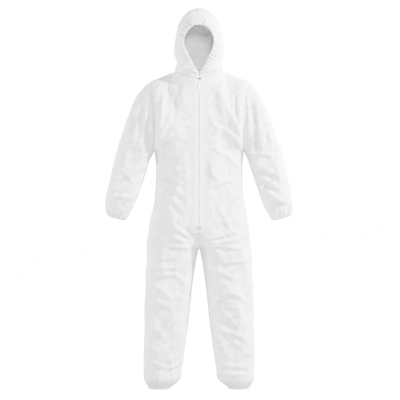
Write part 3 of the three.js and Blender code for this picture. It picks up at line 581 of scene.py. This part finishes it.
# bonded dots in staggered rows 2.4 mm apart, over long random fibres and small hard creases
dots = nonwoven.add("TexVoronoi", {"voronoi_dimensions": "2D"}, Vector=cloth_uv, Scale=420.0,
                    Randomness=0.22)
fibres = nonwoven.add("TexNoise", Vector=cloth_uv, Scale=900.0, Detail=3.0, Distortion=1.5)
mottle = nonwoven.add("TexNoise", Vector=in_space, Scale=170.0, Detail=2.0, Roughness=0.8)
clouds = nonwoven.add("TexNoise", Vector=in_space, Scale=26.0, Detail=4.0, Roughness=0.6)
hard_creases = nonwoven.add("TexVoronoi", {"feature": "SMOOTH_F1"}, Vector=in_space, Scale=34.0,
                            Smoothness=0.25)
pressed = nonwoven.add("MapRange", Value=dots, in1=0.0, in2=0.42, in3=0.0, in4=1.0)
relief = 0.35 * pressed + 0.3 * fibres + 2.6 * hard_creases + 1.6 * clouds + 0.8 * mottle
tint = nonwoven.add("ValToRGB", Fac=0.30 * clouds + 0.1 * fibres + 0.15 * pressed + 0.45 * mottle)
ramp = tint.socket.node.color_ramp
ramp.elements[0].position, ramp.elements[0].color = 0.37, (0.53, 0.54, 0.555, 1)
ramp.elements[1].position, ramp.elements[1].color = 0.62, (0.86, 0.865, 0.87, 1)
cloth_bump = nonwoven.add("Bump", Strength=0.75, Distance=0.0013, Height=relief)
nonwoven.set(Base_Color=tint, Roughness=0.60 + 0.16 * clouds, Normal=cloth_bump,
             Sheen_Weight=0.12, Sheen_Roughness=0.45, Specular_IOR_Level=0.35)

thread = Shader("white_sewing_thread")
thread_twist = thread.add("TexWave", Vector=thread.add("TexCoord", out=3), Scale=700.0,
                          Distortion=2.0)
thread.set(Base_Color=(0.78, 0.785, 0.79, 1), Roughness=0.5 + 0.2 * thread_twist,
           Normal=thread.add("Bump", Strength=0.4, Distance=0.0003, Height=thread_twist))


def finish_piece(piece, material, motion, nodes=()):
    """Gives a piece its finish, and its motion when given one body's name; given two bodies and the
    stretch between, it only bakes the piece in place.
    """
    piece.data.materials.append(material)
    if isinstance(motion, str):
        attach(piece, motion)
    else:
        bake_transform(piece)
    if nodes:
        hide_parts(*nodes)
    return piece


def stitches(name, points, normal, motion, pitch=0.0042, slant=0.9, lift=0.0002):
    """A row of stitches along a path: each is a short bar of three rings of four corners, its
    middle ring the widest, laid aslant across the seam."""
    run = lengths(points[None], 1)[0]
    at = np.arange(pitch / 2, run[-1], pitch)
    if len(at) < 2:
        return None
    place = np.stack([np.interp(at, run, points[:, k]) for k in range(3)], 1)
    up = np.stack([np.interp(at, run, normal[:, k]) for k in range(3)], 1)
    way = np.gradient(place, axis=0)
    way /= np.linalg.norm(way, axis=1, keepdims=True)
    up -= way * (up * way).sum(1, keepdims=True)
    up /= np.linalg.norm(up, axis=1, keepdims=True)
    across = np.cross(way, up)
    way, across = (way * np.cos(slant) + across * np.sin(slant),
                   across * np.cos(slant) - way * np.sin(slant))
    ring = np.array([[-1, 0], [0, 1], [1, 0], [0, -1]]) * np.array([0.00028, 0.00026])
    bars = [(place[:, None] + way[:, None] * end * 0.0016
             + size * (across[:, None] * ring[:, :1] + up[:, None] * (ring[:, 1:] + lift)))
            for end, size in ((-1, 0.5), (0, 1.0), (1, 0.5))]
    points = np.stack(bars, 1).reshape(-1, 3)
    cell = np.array([[k, (k + 1) % 4, (k + 1) % 4 + 4, k + 4] for k in range(4)])
    cell = np.concatenate([cell, cell + 4, [[3, 2, 1, 0], [8, 9, 10, 11]]])
    faces = (np.arange(len(at))[:, None, None] * 12 + cell).reshape(-1, 4)
    return finish_piece(grid_mesh(name, points, faces), thread.material, motion)


CROTCH_ROW, CUT_ROW = len(LEG_ROWS) - 1, int(np.argmin(np.abs(LEG_ROWS - THIGH_CUT)))
SIDES = {"left": 1, "right": -1}
for side_name, side in SIDES.items():
    hip = ("trunk", f"thigh_{side_name}", (side * 0.128, 0, CROTCH), (side * 0.128, 0, 0.53))
    knee = (f"thigh_{side_name}", f"shin_{side_name}", (side * 0.145, 0, 0.46),
            (side * 0.145, 0, 0.29))
    for face_name, face in (("front", -1), ("back", 1)):
        points, normal, smooth = shape_body(side, face)
        parts = [
            (f"{face_name}_panel_{side_name}", slice(CROTCH_ROW, None), "trunk",
             [f"{face_name}_panel_{side_name}"]),
            (f"upper_leg_{face_name}_{side_name}", slice(CUT_ROW, CROTCH_ROW + 1), hip,
             [f"thigh_{face_name}_{side_name}"] + ([f"hip_flex_{side_name}"] if face < 0 else [])),
            (f"lower_leg_{face_name}_{side_name}", slice(0, CUT_ROW + 1), knee,
             [f"shin_{face_name}_{side_name}"] + ([f"knee_flex_{side_name}"] if face < 0 else [])),
        ]
        for name, rows, motion, nodes in parts:
            piece = sheet_mesh("cloth_" + name, points[rows], normal[rows])
            finish_piece(piece, nonwoven.material, motion, nodes)
            laid_flat(smooth[rows])
            # the side and inside leg seams are sewn once, from the front; the centre from the left
            level = smooth[rows][:, -1, 2]
            seams = {"side": (-1, level <= ARMPIT)} if face < 0 else {}
            if face < 0 and "leg" in name:
                seams["inside_leg"] = (0, level >= 0)
            elif side > 0 and "panel" in name:
                seams["centre"] = (0, (level < ZIP_BOTTOM[2] - 0.006) | (face > 0))
            for seam, (column, sewn) in seams.items():
                stitches(f"stitches_{seam}_{name}", points[rows][sewn, column],
                         normal[rows][sewn, column], motion)
        if face < 0:
            shoulder = ACROSS >= 0.5
            stitches(f"stitches_shoulder_{side_name}", points[-1, shoulder], normal[-1, shoulder],
                     "trunk")


# ---- Sleeves -----------------------------------------------------------------------------------
# Each sleeve is one piece of the same nonwoven, sewn under the arm and set into the armhole. It is
# cut here above the elbow. Its mouth is gathered onto a narrow elastic.
SLEEVE_LOOPS = np.array([  # outer x, outer z, inner x, inner z, half depth
    [0.222, 1.404, 0.204, 1.086, 0.084], [0.284, 1.335, 0.208, 1.077, 0.088],
    [0.333, 1.219, 0.214, 1.063, 0.086], [0.375, 1.088, 0.223, 1.044, 0.080],
    [0.393, 1.026, 0.243, 0.982, 0.077], [0.412, 0.938, 0.271, 0.897, 0.072],
    [0.426, 0.862, 0.301, 0.824, 0.065], [0.427, 0.817, 0.322, 0.788, 0.052],
    [0.41087, 0.78489, 0.34213, 0.76711, 0.036]])
SLEEVE_LINES = [curve(*enumerate(column)) for column in SLEEVE_LOOPS.T]
SLEEVE_CUT, WRIST = 3.65, 8
ELBOW = np.array([0.328, -0.010, 0.969])
SLEEVE_FOLDS = {
    "right": [  # the sleeve on the left of the front view
        (-0.205, 1.36, -0.222, 1.13, 0.012, 0.0075), (-0.235, 1.34, -0.262, 1.12, 0.013, 0.006),
        (-0.27, 1.30, -0.31, 1.09, 0.013, 0.006), (-0.225, 1.075, -0.33, 1.05, 0.011, 0.006),
        (-0.222, 1.04, -0.365, 0.945, 0.012, 0.009), (-0.235, 0.99, -0.385, 0.865, 0.012, 0.008),
        (-0.25, 0.94, -0.395, 0.815, 0.011, 0.006), (-0.375, 1.02, -0.29, 0.93, 0.011, 0.005),
        (-0.285, 0.87, -0.415, 0.875, 0.010, 0.005)],
    "left": [
        (0.21, 1.35, 0.225, 1.14, 0.012, 0.006), (0.25, 1.32, 0.275, 1.1, 0.013, 0.006),
        (0.29, 1.27, 0.33, 1.08, 0.012, 0.005), (0.225, 1.07, 0.34, 1.06, 0.011, 0.006),
        (0.222, 1.035, 0.37, 0.96, 0.012, 0.008), (0.24, 0.985, 0.395, 0.885, 0.012, 0.008),
        (0.255, 0.93, 0.405, 0.83, 0.011, 0.007), (0.38, 1.0, 0.30, 0.9, 0.011, 0.005),
        (0.30, 0.85, 0.42, 0.85, 0.010, 0.005)],
}


def sleeve_surface(side, turn, at):
    """An oval loop at a place along the sleeve, counted in loops. turn 0 is the outer side."""
    angle = turn * 2 * np.pi
    share = (1 + np.cos(angle)) / 2
    outer_x, outer_z, inner_x, inner_z, depth = [line(at) for line in SLEEVE_LINES]
    hollow = 0.014 * ease(1.5, 0, at) * np.sin(angle) ** 2
    return spot(side * (mix(inner_x, outer_x, share) - hollow),
                -depth * rounded(np.sin(angle)) - 0.016 * ease(1, 8, at),
                mix(inner_z, outer_z, share))


def even_places(line, low, high, step):
    """Places from low to high whose points on a line lie evenly about one step apart."""
    fine = np.linspace(low, high, 1500)
    run = lengths(line(fine)[None], 1)[0]
    return np.interp(np.linspace(0, run[-1], int(round(run[-1] / step)) + 1), run, fine)


def tube_normals(points, middle):
    """Normals of a grid whose first and last columns meet, taken across the join."""
    wrapped = np.concatenate([points[:, -3:-1], points, points[:, 1:3]], 1)
    normal = normals_of(wrapped, middle)[:, 2:-2]
    normal[:, -1] = normal[:, 0]
    return normal


for side_name, side in SIDES.items():
    def ridge_line(at):
        return sleeve_surface(side, 0.0 * at + 0.12, at)

    upper_rows = even_places(ridge_line, 0, SLEEVE_CUT, CELL)
    at = np.concatenate([upper_rows[:-1], even_places(ridge_line, SLEEVE_CUT, WRIST, CELL)])
    turn, at = np.broadcast_arrays(np.linspace(-0.5, 0.5, 94)[None], at[:, None])
    base = sleeve_surface(side, turn, at)
    middle_row = base[len(base) // 2]
    normal = tube_normals(base, middle_row.mean(0))
    run = lengths(base, 0)
    to_wrist = run[-1:] - run
    hold = np.clip(np.maximum(ease(0.022, 0.0, run), ease(0.07, 0.015, to_wrist)), 0, 1)
    seen = front_of(normal)
    lines = SLEEVE_FOLDS[side_name]
    turned = base + np.array([0, 0, 0.03])
    height = creases(base, lines) * seen + creases(turned, lines) * front_of(-normal)
    around = (turn + 0.5) * 0.44
    height = height * (1 - hold) + puckers(around, run, side)
    points = crumple(base, normal, hold) + normal * height[..., None]
    pucker = (gathers(turn + 0.5, to_wrist, 0.07, 1 / 14, 9 + side)
              + 0.7 * gathers(turn + 0.5, to_wrist, 0.038, 1 / 20, 7 + side))
    points = points + normal * (0.0072 * pucker * (1 - 0.15 * ease(0.02, 0, to_wrist)))[..., None]
    points[:, -1] = points[:, 0]
    cut_row = len(upper_rows) - 1
    shoulder_bend = ("trunk", f"sleeve_{side_name}", (side * 0.274, -0.004, 1.1385),
                     (side * 0.3256, -0.004, 1.0697))
    bend = np.array([side * 0.274, 0, -0.962]) * 0.057
    pivot = ELBOW * (side, 1, 1)
    elbow_bend = (f"sleeve_{side_name}", f"forearm_{side_name}", pivot - bend, pivot + bend)
    for name, rows, motion, nodes in (
            (f"upper_sleeve_{side_name}", slice(0, cut_row + 1), shoulder_bend,
             [f"sleeve_cap_{side_name}", f"upper_sleeve_{side_name}"]),
            (f"lower_sleeve_{side_name}", slice(cut_row, None), elbow_bend,
             [f"elbow_flex_{side_name}", f"forearm_{side_name}"])):
        piece = sheet_mesh("cloth_" + name, points[rows], normal[rows])
        finish_piece(piece, nonwoven.material, motion, nodes)
        laid_flat(base[rows])
        stitches(f"stitches_underarm_{name}", points[rows][:, 0], normal[rows][:, 0], motion)
    stitches(f"stitches_armhole_{side_name}", points[0], normal[0], "trunk")
    hem = np.argmax(to_wrist[:, 0] < 0.013)
    stitches(f"stitches_wrist_hem_{side_name}", points[hem], normal[hem],
             f"forearm_{side_name}", slant=0.0, pitch=0.0036)


# ---- Hood --------------------------------------------------------------------------------------
# Two mirrored pieces, sewn over the crown and down the back, and onto the neck edge. The face edge
# is turned in over an elastic, which gathers it all round in short pleats.
FACE_Z, FACE_HALF, CROWN_Z = 1.578, 0.0715, 1.742
hood_half = curve((1.411, 0.122), (1.447, 0.112), (1.485, 0.101), (1.532, 0.115), (1.595, 0.110),
                  (1.651, 0.099), (1.687, 0.083), (1.712, 0.062), (1.730, 0.038), (1.742, 0.002))
hood_front = curve((1.411, -0.104), (1.485, -0.109), (1.532, -0.118), (1.588, -0.126),
                   (1.656, -0.113), (1.700, -0.084), (1.728, -0.042), (1.742, 0.008))
hood_back = curve((1.411, 0.066), (1.472, 0.078), (1.532, 0.112), (1.600, 0.1345), (1.670, 0.126),
                  (1.712, 0.090), (1.732, 0.052), (1.742, 0.012))
NECK_BEND = ("trunk", "hood", (0, 0, 1.4475), (0, -0.0254, 1.5233))


def face_half(z):
    """Half the face opening's width: a round top on two straight sides that meet at the zip."""
    reach = FACE_Z - ZIP_TOP[2]
    tangent = np.arcsin(FACE_HALF / reach)
    join = FACE_Z - FACE_HALF * np.sin(tangent)
    circle = np.sqrt(np.maximum(FACE_HALF**2 - (z - FACE_Z) ** 2, 0))
    return np.where(z >= join, circle, np.maximum((z - ZIP_TOP[2]) * np.tan(tangent), 0))


def hood_surface(side, v, z):
    """The hood at a height: v runs from the face edge or front seam (0) to the back seam (1). Near
    the neck it moves over to the neck seam's oval."""
    first = np.arcsin(np.clip(face_half(z) / hood_half(z), 0, 1) ** (1 / SQUARENESS))
    angle = mix(first, np.pi, v)
    hood = spot(side * hood_half(z) * rounded(np.maximum(np.sin(angle), 0)),
                mix(hood_back(z), hood_front(z), (1 + np.cos(angle)) / 2), z)
    seam = np.where((v < 0.5)[..., None], neck_seam(side, -1, np.clip(2 * v, 0, 1)),
                    neck_seam(side, 1, np.clip(2 - 2 * v, 0, 1)))
    rise = (z - seam[..., 2]) / (1.532 - seam[..., 2])
    seam[..., 2] = z
    return mix(hood, seam, ease(0.5, 0, rise)[..., None])


def neck_height(v):
    seam = np.where(v < 0.5, neck_seam(1, -1, np.clip(2 * v, 0, 1))[..., 2],
                    neck_seam(1, 1, np.clip(2 - 2 * v, 0, 1))[..., 2])
    return seam


def even_rise(v, rows):
    """Shares of the way from the neck to the crown whose points on column v lie evenly."""
    share = np.linspace(0, 1, 3000)
    z = mix(neck_height(np.array(v)), CROWN_Z - 0.0004, share)
    run = lengths(hood_surface(1, v + 0 * z, z)[None], 1)[0]
    return np.interp(np.linspace(0, run[-1], rows), run, share)


def from_line(points, line):
    """How far each point lies from a line of points, and how far along the line its nearest part
    is: a mean over the line's points, weighted so that only the nearest few count."""
    run = lengths(line[None], 1)[0]
    gap = np.linalg.norm(points[:, :, None] - line, axis=-1)
    least = gap.min(-1)
    weight = np.exp(-(gap**2 - least[..., None] ** 2) / 0.005**2)
    return least, (weight * run).sum(-1) / weight.sum(-1)


HOOD_ROWS = 230
HOOD_ACROSS = np.concatenate([[0, 0.008, 0.018], np.linspace(0.032, 0.97, 62), [0.985, 1]])
by_edge, by_side = even_rise(0.0, HOOD_ROWS), even_rise(0.5, HOOD_ROWS)
HOOD_FOLDS = [
    (-0.005, 1.43, -0.095, 1.468, 0.010, 0.005), (0.005, 1.43, 0.09, 1.464, 0.009, 0.004),
    (-0.02, 1.412, -0.10, 1.442, 0.008, 0.004), (0.02, 1.412, 0.10, 1.438, 0.007, 0.003),
    (-0.10, 1.63, -0.06, 1.50, 0.010, 0.004), (0.10, 1.62, 0.07, 1.49, 0.010, 0.004),
    (-0.02, 1.735, -0.075, 1.66, 0.010, 0.003), (0.02, 1.735, 0.08, 1.67, 0.010, 0.003),
]
knit = Shader("knitted_elastic")
knit_uv = knit.add("UVMap", {"uv_map": "cloth"})
ribs = knit.add("TexWave", {"bands_direction": "X"}, Vector=knit_uv, Scale=190.0,
                Distortion=0.6)
loops = knit.add("TexWave", {"bands_direction": "Y"}, Vector=knit_uv, Scale=330.0,
                 Distortion=1.0)
knit_tint = knit.add("ValToRGB", Fac=0.6 * ribs + 0.4 * loops)
knit_ramp = knit_tint.socket.node.color_ramp
knit_ramp.elements[0].color = (0.62, 0.62, 0.60, 1)
knit_ramp.elements[1].color = (0.83, 0.83, 0.81, 1)
knit.set(Base_Color=knit_tint, Roughness=0.75 + 0.1 * loops, Sheen_Weight=0.25,
         Normal=knit.add("Bump", Strength=0.7, Distance=0.0006, Height=ribs + 0.5 * loops))

for side_name, side in SIDES.items():
    v = np.broadcast_to(HOOD_ACROSS[None], (HOOD_ROWS, len(HOOD_ACROSS)))
    share = mix(by_edge[:, None], by_side[:, None], ease(0, 0.35, v))
    z = mix(neck_height(v), CROWN_Z - 0.0004, share)
    base = hood_surface(side, v, z)
    normal = normals_of(base, (0, 0.01, 1.56))
    across, along = lengths(base, 1), lengths(base, 0)
    to_back = across[:, -1:] - across
    opened = ease(FACE_Z + FACE_HALF + 0.001, FACE_Z + FACE_HALF - 0.004, z[:, :1])
    hold = np.maximum(ease(0.018, 0.0, along), ease(0.020, 0.0, to_back))
    hold = np.maximum(hold, ease(0.018, 0.0, across) * (1 - opened))
    hold = np.clip(np.maximum(hold, ease(0.03, 0.0, along[-1:] - along)), 0, 1)
    height = creases(base, HOOD_FOLDS) * front_of(normal) * (1 - hold) * ease(0, 0.02, across)
    height = height + puckers(across, along, 4.0) + puckers(along, to_back, 5.0)
    height = height + puckers(along, across, 6.0) * (1 - opened)
    from_edge, edge_run = from_line(base, base[opened[:, 0] > 0.5, 0])
    by_seam = mix(ease(0.002, 0.014, np.abs(base[..., 0])), 1.0, opened)
    pleats = gathers(edge_run, from_edge, 0.050, 0.0175, 12 + side)
    bunch = gathers(edge_run, from_edge, 0.030, 0.0105, 15 + side)
    height = height + (0.0078 * pleats + 0.0036 * bunch) * by_seam * ease(0.0, 0.02, along)
    points = crumple(base, normal, hold, strength=0.45) + normal * height[..., None]
    turned_in = 0.0042 * np.clip(1 - across / 0.007, 0, 1) ** 2 * opened
    points = points - normal * turned_in[..., None]
    points[..., 0] = side * np.maximum(side * points[..., 0], 0.0)
    piece = sheet_mesh(f"cloth_hood_{side_name}", points, normal)
    finish_piece(piece, nonwoven.material, NECK_BEND,
                 [f"hood_neck_{side_name}", f"hood_panel_{side_name}"])
    laid_flat(base)
    stitches(f"stitches_neck_{side_name}", points[0], normal[0], "trunk")
    if side > 0:
        shut = opened[:, 0] < 0.5
        stitches("stitches_hood_crown", points[shut, 0], normal[shut, 0], NECK_BEND)
        stitches("stitches_hood_back", points[:, -1], normal[:, -1], NECK_BEND)
    hem = 5
    stitches(f"stitches_face_hem_{side_name}", points[opened[:, 0] > 0.9, hem],
             normal[opened[:, 0] > 0.9, hem], NECK_BEND, slant=0.0, pitch=0.0034)

    # the elastic in the face hem: a knitted band that follows the edge inside the cloth
    rows = np.flatnonzero(opened[:, 0] > 0.5)[3:]
    inside = np.linspace(0.004, 0.011, 5)
    band = np.stack([np.stack([np.interp(inside, across[k], base[k, :, axis])
                               for axis in range(3)], -1) for k in rows])
    band_normal = np.stack([np.stack([np.interp(inside, across[k], normal[k, :, axis])
                                      for axis in range(3)], -1) for k in rows])
    band = band - band_normal * 0.0075
    elastic = sheet_mesh(f"face_elastic_{side_name}", band, band_normal, 0.0009)
    finish_piece(elastic, knit.material, NECK_BEND,
                 [f"face_elastic_upper_{side_name}", f"face_elastic_lower_{side_name}"])


# ---- Elastics at the waist, wrists and ankles --------------------------------------------------
# Narrow knitted bands, stretched while they are sewn inside the cloth, so that it gathers. The
# waist's runs from one front, round the back, to the other.
def inner_band(name, points, middle, inward, motion, nodes, closed=True):
    """A knitted band laid a little way inside a surface's grid."""
    normal = tube_normals(points, middle) if closed else normals_of(points, middle)
    band = sheet_mesh(name, points - normal * inward, normal, 0.0009)
    return finish_piece(band, knit.material, motion, nodes)


band_z = np.linspace(0.957, 0.979, 6)[:, None]
sweep_turn = np.linspace(-4 / 3, 4 / 3, 160)[None]
sweep_side = np.where(sweep_turn < 0, -1.0, 1.0)
sweep_turn, band_z, sweep_side = np.broadcast_arrays(np.abs(sweep_turn), band_z, sweep_side)
back_part = trunk_surface(1, 1, np.minimum(sweep_turn, 1), band_z, 0 * band_z)
front_part = trunk_surface(1, -1, 2 - np.maximum(sweep_turn, 1), band_z, 0 * band_z)
waist_points = np.where((sweep_turn <= 1)[..., None], back_part, front_part)
waist_points = waist_points * np.stack([sweep_side, 1 + 0 * sweep_side, 1 + 0 * sweep_side], -1)
inner_band("waist_band", waist_points, (0, 0.0, WAIST), 0.013, "trunk", ["waist_elastic"], False)
for side_name, side in SIDES.items():
    turn, height = np.broadcast_arrays(np.linspace(0, 1, 73)[None],
                                       np.linspace(0.003, 0.013, 4)[:, None])
    inner_band(f"ankle_band_{side_name}", leg_surface(side, turn, height), (side * 0.182, 0, 0.008),
               0.004, f"shin_{side_name}", [f"ankle_elastic_{side_name}"])
    turn, at = np.broadcast_arrays(np.linspace(0, 1, 61)[None], np.linspace(7.7, 7.93, 4)[:, None])
    mouth = sleeve_surface(side, turn, at)
    inner_band(f"wrist_band_{side_name}", mouth, mouth.reshape(-1, 3).mean(0), 0.004,
               f"forearm_{side_name}", [f"wrist_elastic_{side_name}"])


# ---- Zip ---------------------------------------------------------------------------------------
# A nylon coil zip: each side is one spiral of thick thread sewn along the edge of a woven tape.
# The tapes are sewn onto the panels' front edges, and a small lacquered metal slider runs on it.
ZIP_UP, ZIP_OUT = np.array([0, 0.04188, 0.99912]), np.array([0, -0.99912, 0.04188])
ZIP_LENGTH, CHAIN_TOP = 0.66859, 0.64659
COIL_PITCH, COIL_THREAD = 0.00125, 0.00044


def zip_place(across, out, up):
    """A point of the zip: across it, out from the cloth, and up from its bottom stop."""
    across, out, up = np.broadcast_arrays(across, out, up)
    return (ZIP_BOTTOM + out[..., None] * ZIP_OUT + up[..., None] * ZIP_UP
            + across[..., None] * np.array([1.0, 0, 0]))


twill = Shader("woven_zip_tape")
twill_uv = twill.add("UVMap", {"uv_map": "cloth"})
slanted = twill.add("Mapping", Vector=twill_uv, Rotation=(0, 0, 0.9))
twill_ribs = twill.add("TexWave", {"bands_direction": "X"}, Vector=slanted, Scale=260.0)
warp = twill.add("TexWave", {"bands_direction": "X"}, Vector=twill_uv, Scale=420.0)
# The tape's colour is set whiter than the cloth's. This is partly the tape's own white and partly a
# painted highlight for the gloss of its face turned to the front.
tape_white_with_painted_highlight = twill.add("ValToRGB", Fac=0.7 * twill_ribs + 0.3 * warp)
tape_white_with_painted_highlight_ramp = tape_white_with_painted_highlight.socket.node.color_ramp
tape_white_with_painted_highlight_ramp.elements[0].color = (0.93, 0.93, 0.935, 1)
tape_white_with_painted_highlight_ramp.elements[1].color = (0.99, 0.99, 0.99, 1)
twill.set(Base_Color=tape_white_with_painted_highlight, Roughness=0.62 + 0.1 * warp, Sheen_Weight=0.15,
          Normal=twill.add("Bump", Strength=0.5, Distance=0.0004, Height=twill_ribs + 0.4 * warp))

nylon = Shader("nylon_coil")
nylon_noise = nylon.add("TexNoise", Vector=nylon.add("TexCoord", out=3), Scale=900.0, Detail=2.0)
nylon.set(Base_Color=(0.86, 0.86, 0.85, 1), Roughness=0.28 + 0.14 * nylon_noise,
          Coat_Weight=0.2 + 0.1 * nylon_noise)

lacquer = Shader("lacquered_zip_metal")
lacquer_noise = lacquer.add("TexNoise", Vector=lacquer.add("TexCoord", out=3), Scale=420.0,
                            Detail=4.0)
worn = lacquer.add("ValToRGB", Fac=lacquer_noise)
worn.socket.node.color_ramp.elements[0].color = (0.70, 0.70, 0.69, 1)
worn.socket.node.color_ramp.elements[1].color = (0.88, 0.88, 0.87, 1)
lacquer.set(Base_Color=worn, Metallic=0.35 + 0.2 * lacquer_noise, Roughness=0.26 + 0.2 * lacquer_noise,
            Normal=lacquer.add("Bump", Strength=0.25, Distance=0.0002, Height=lacquer_noise))

for side_name, side in SIDES.items():
    across, up = np.broadcast_arrays(np.linspace(0.0005, 0.02075, 22)[None],
                                     np.linspace(0.002, ZIP_LENGTH - 0.008, 190)[:, None])
    stitch_dip = sum(np.exp(-((across - row) / 0.0006) ** 2) for row in (0.0105, 0.0165))
    out = (mix(-0.0003, 0.00135, ease(0.0034, 0.0048, across))  # it dips under the coil
           + 0.00018 * np.sin(up * 210 + side) * ease(0.008, 0.02, across)
           - 0.0002 * stitch_dip)
    tape = zip_place(side * across, out, up)
    tape_normal = np.broadcast_to(ZIP_OUT, tape.shape).copy()
    piece = sheet_mesh(f"zip_tape_{side_name}_woven", tape, tape_normal, 0.0008)
    finish_piece(piece, twill.material, "trunk", [f"zip_tape_{side_name}"])
    for row, column in ((1, 10), (2, 17)):
        stitches(f"stitches_zip_{side_name}_{row}", tape[:, column], tape_normal[:, column],
                 "trunk", pitch=0.0032, slant=0.0)

    # the coil: a round thread carried along a flattened spiral
    turns = np.arange(0, CHAIN_TOP / COIL_PITCH, 0.125)[:-1]
    angle = 2 * np.pi * (turns + (0.5 if side > 0 else 0))
    centre = zip_place(side * (0.0019 + 0.00145 * np.cos(angle)), 0.001 + 0.0007 * np.sin(angle),
                       turns * COIL_PITCH)
    way = np.gradient(centre, axis=0)
    way /= np.linalg.norm(way, axis=1, keepdims=True)
    first = np.cross(way, ZIP_UP)
    first /= np.linalg.norm(first, axis=1, keepdims=True)
    second = np.cross(way, first)
    ring = np.linspace(0, 2 * np.pi, 6)
    coil = (centre[:, None] + COIL_THREAD * (np.cos(ring)[:, None] * first[:, None]
                                             + np.sin(ring)[:, None] * second[:, None]))
    belt = np.array([[k, (k + 1) % 5, (k + 1) % 5 + 5, k + 5] for k in range(5)])
    faces = (np.arange(len(coil) - 1)[:, None, None] * 5 + belt).reshape(-1, 4)
    piece = grid_mesh(f"zip_coil_{side_name}", coil[:, :5].reshape(-1, 3), faces)
    finish_piece(piece, nylon.material, "trunk", [f"zip_teeth_{side_name}"])

for name in ("slider_body", "pull_tab", "zip_bottom_stop", "zip_top_stop_left",
             "zip_top_stop_right"):
    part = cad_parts[name]
    part.data.materials.clear()
    part.data.materials.append(lacquer.material)
    weld = part.modifiers.new("joined_corners", "WELD")
    weld.merge_threshold = 0.00001
    rounding = part.modifiers.new("rounded_edges", "BEVEL")
    rounding.width, rounding.segments, rounding.limit_method = 0.00022, 2, "ANGLE"
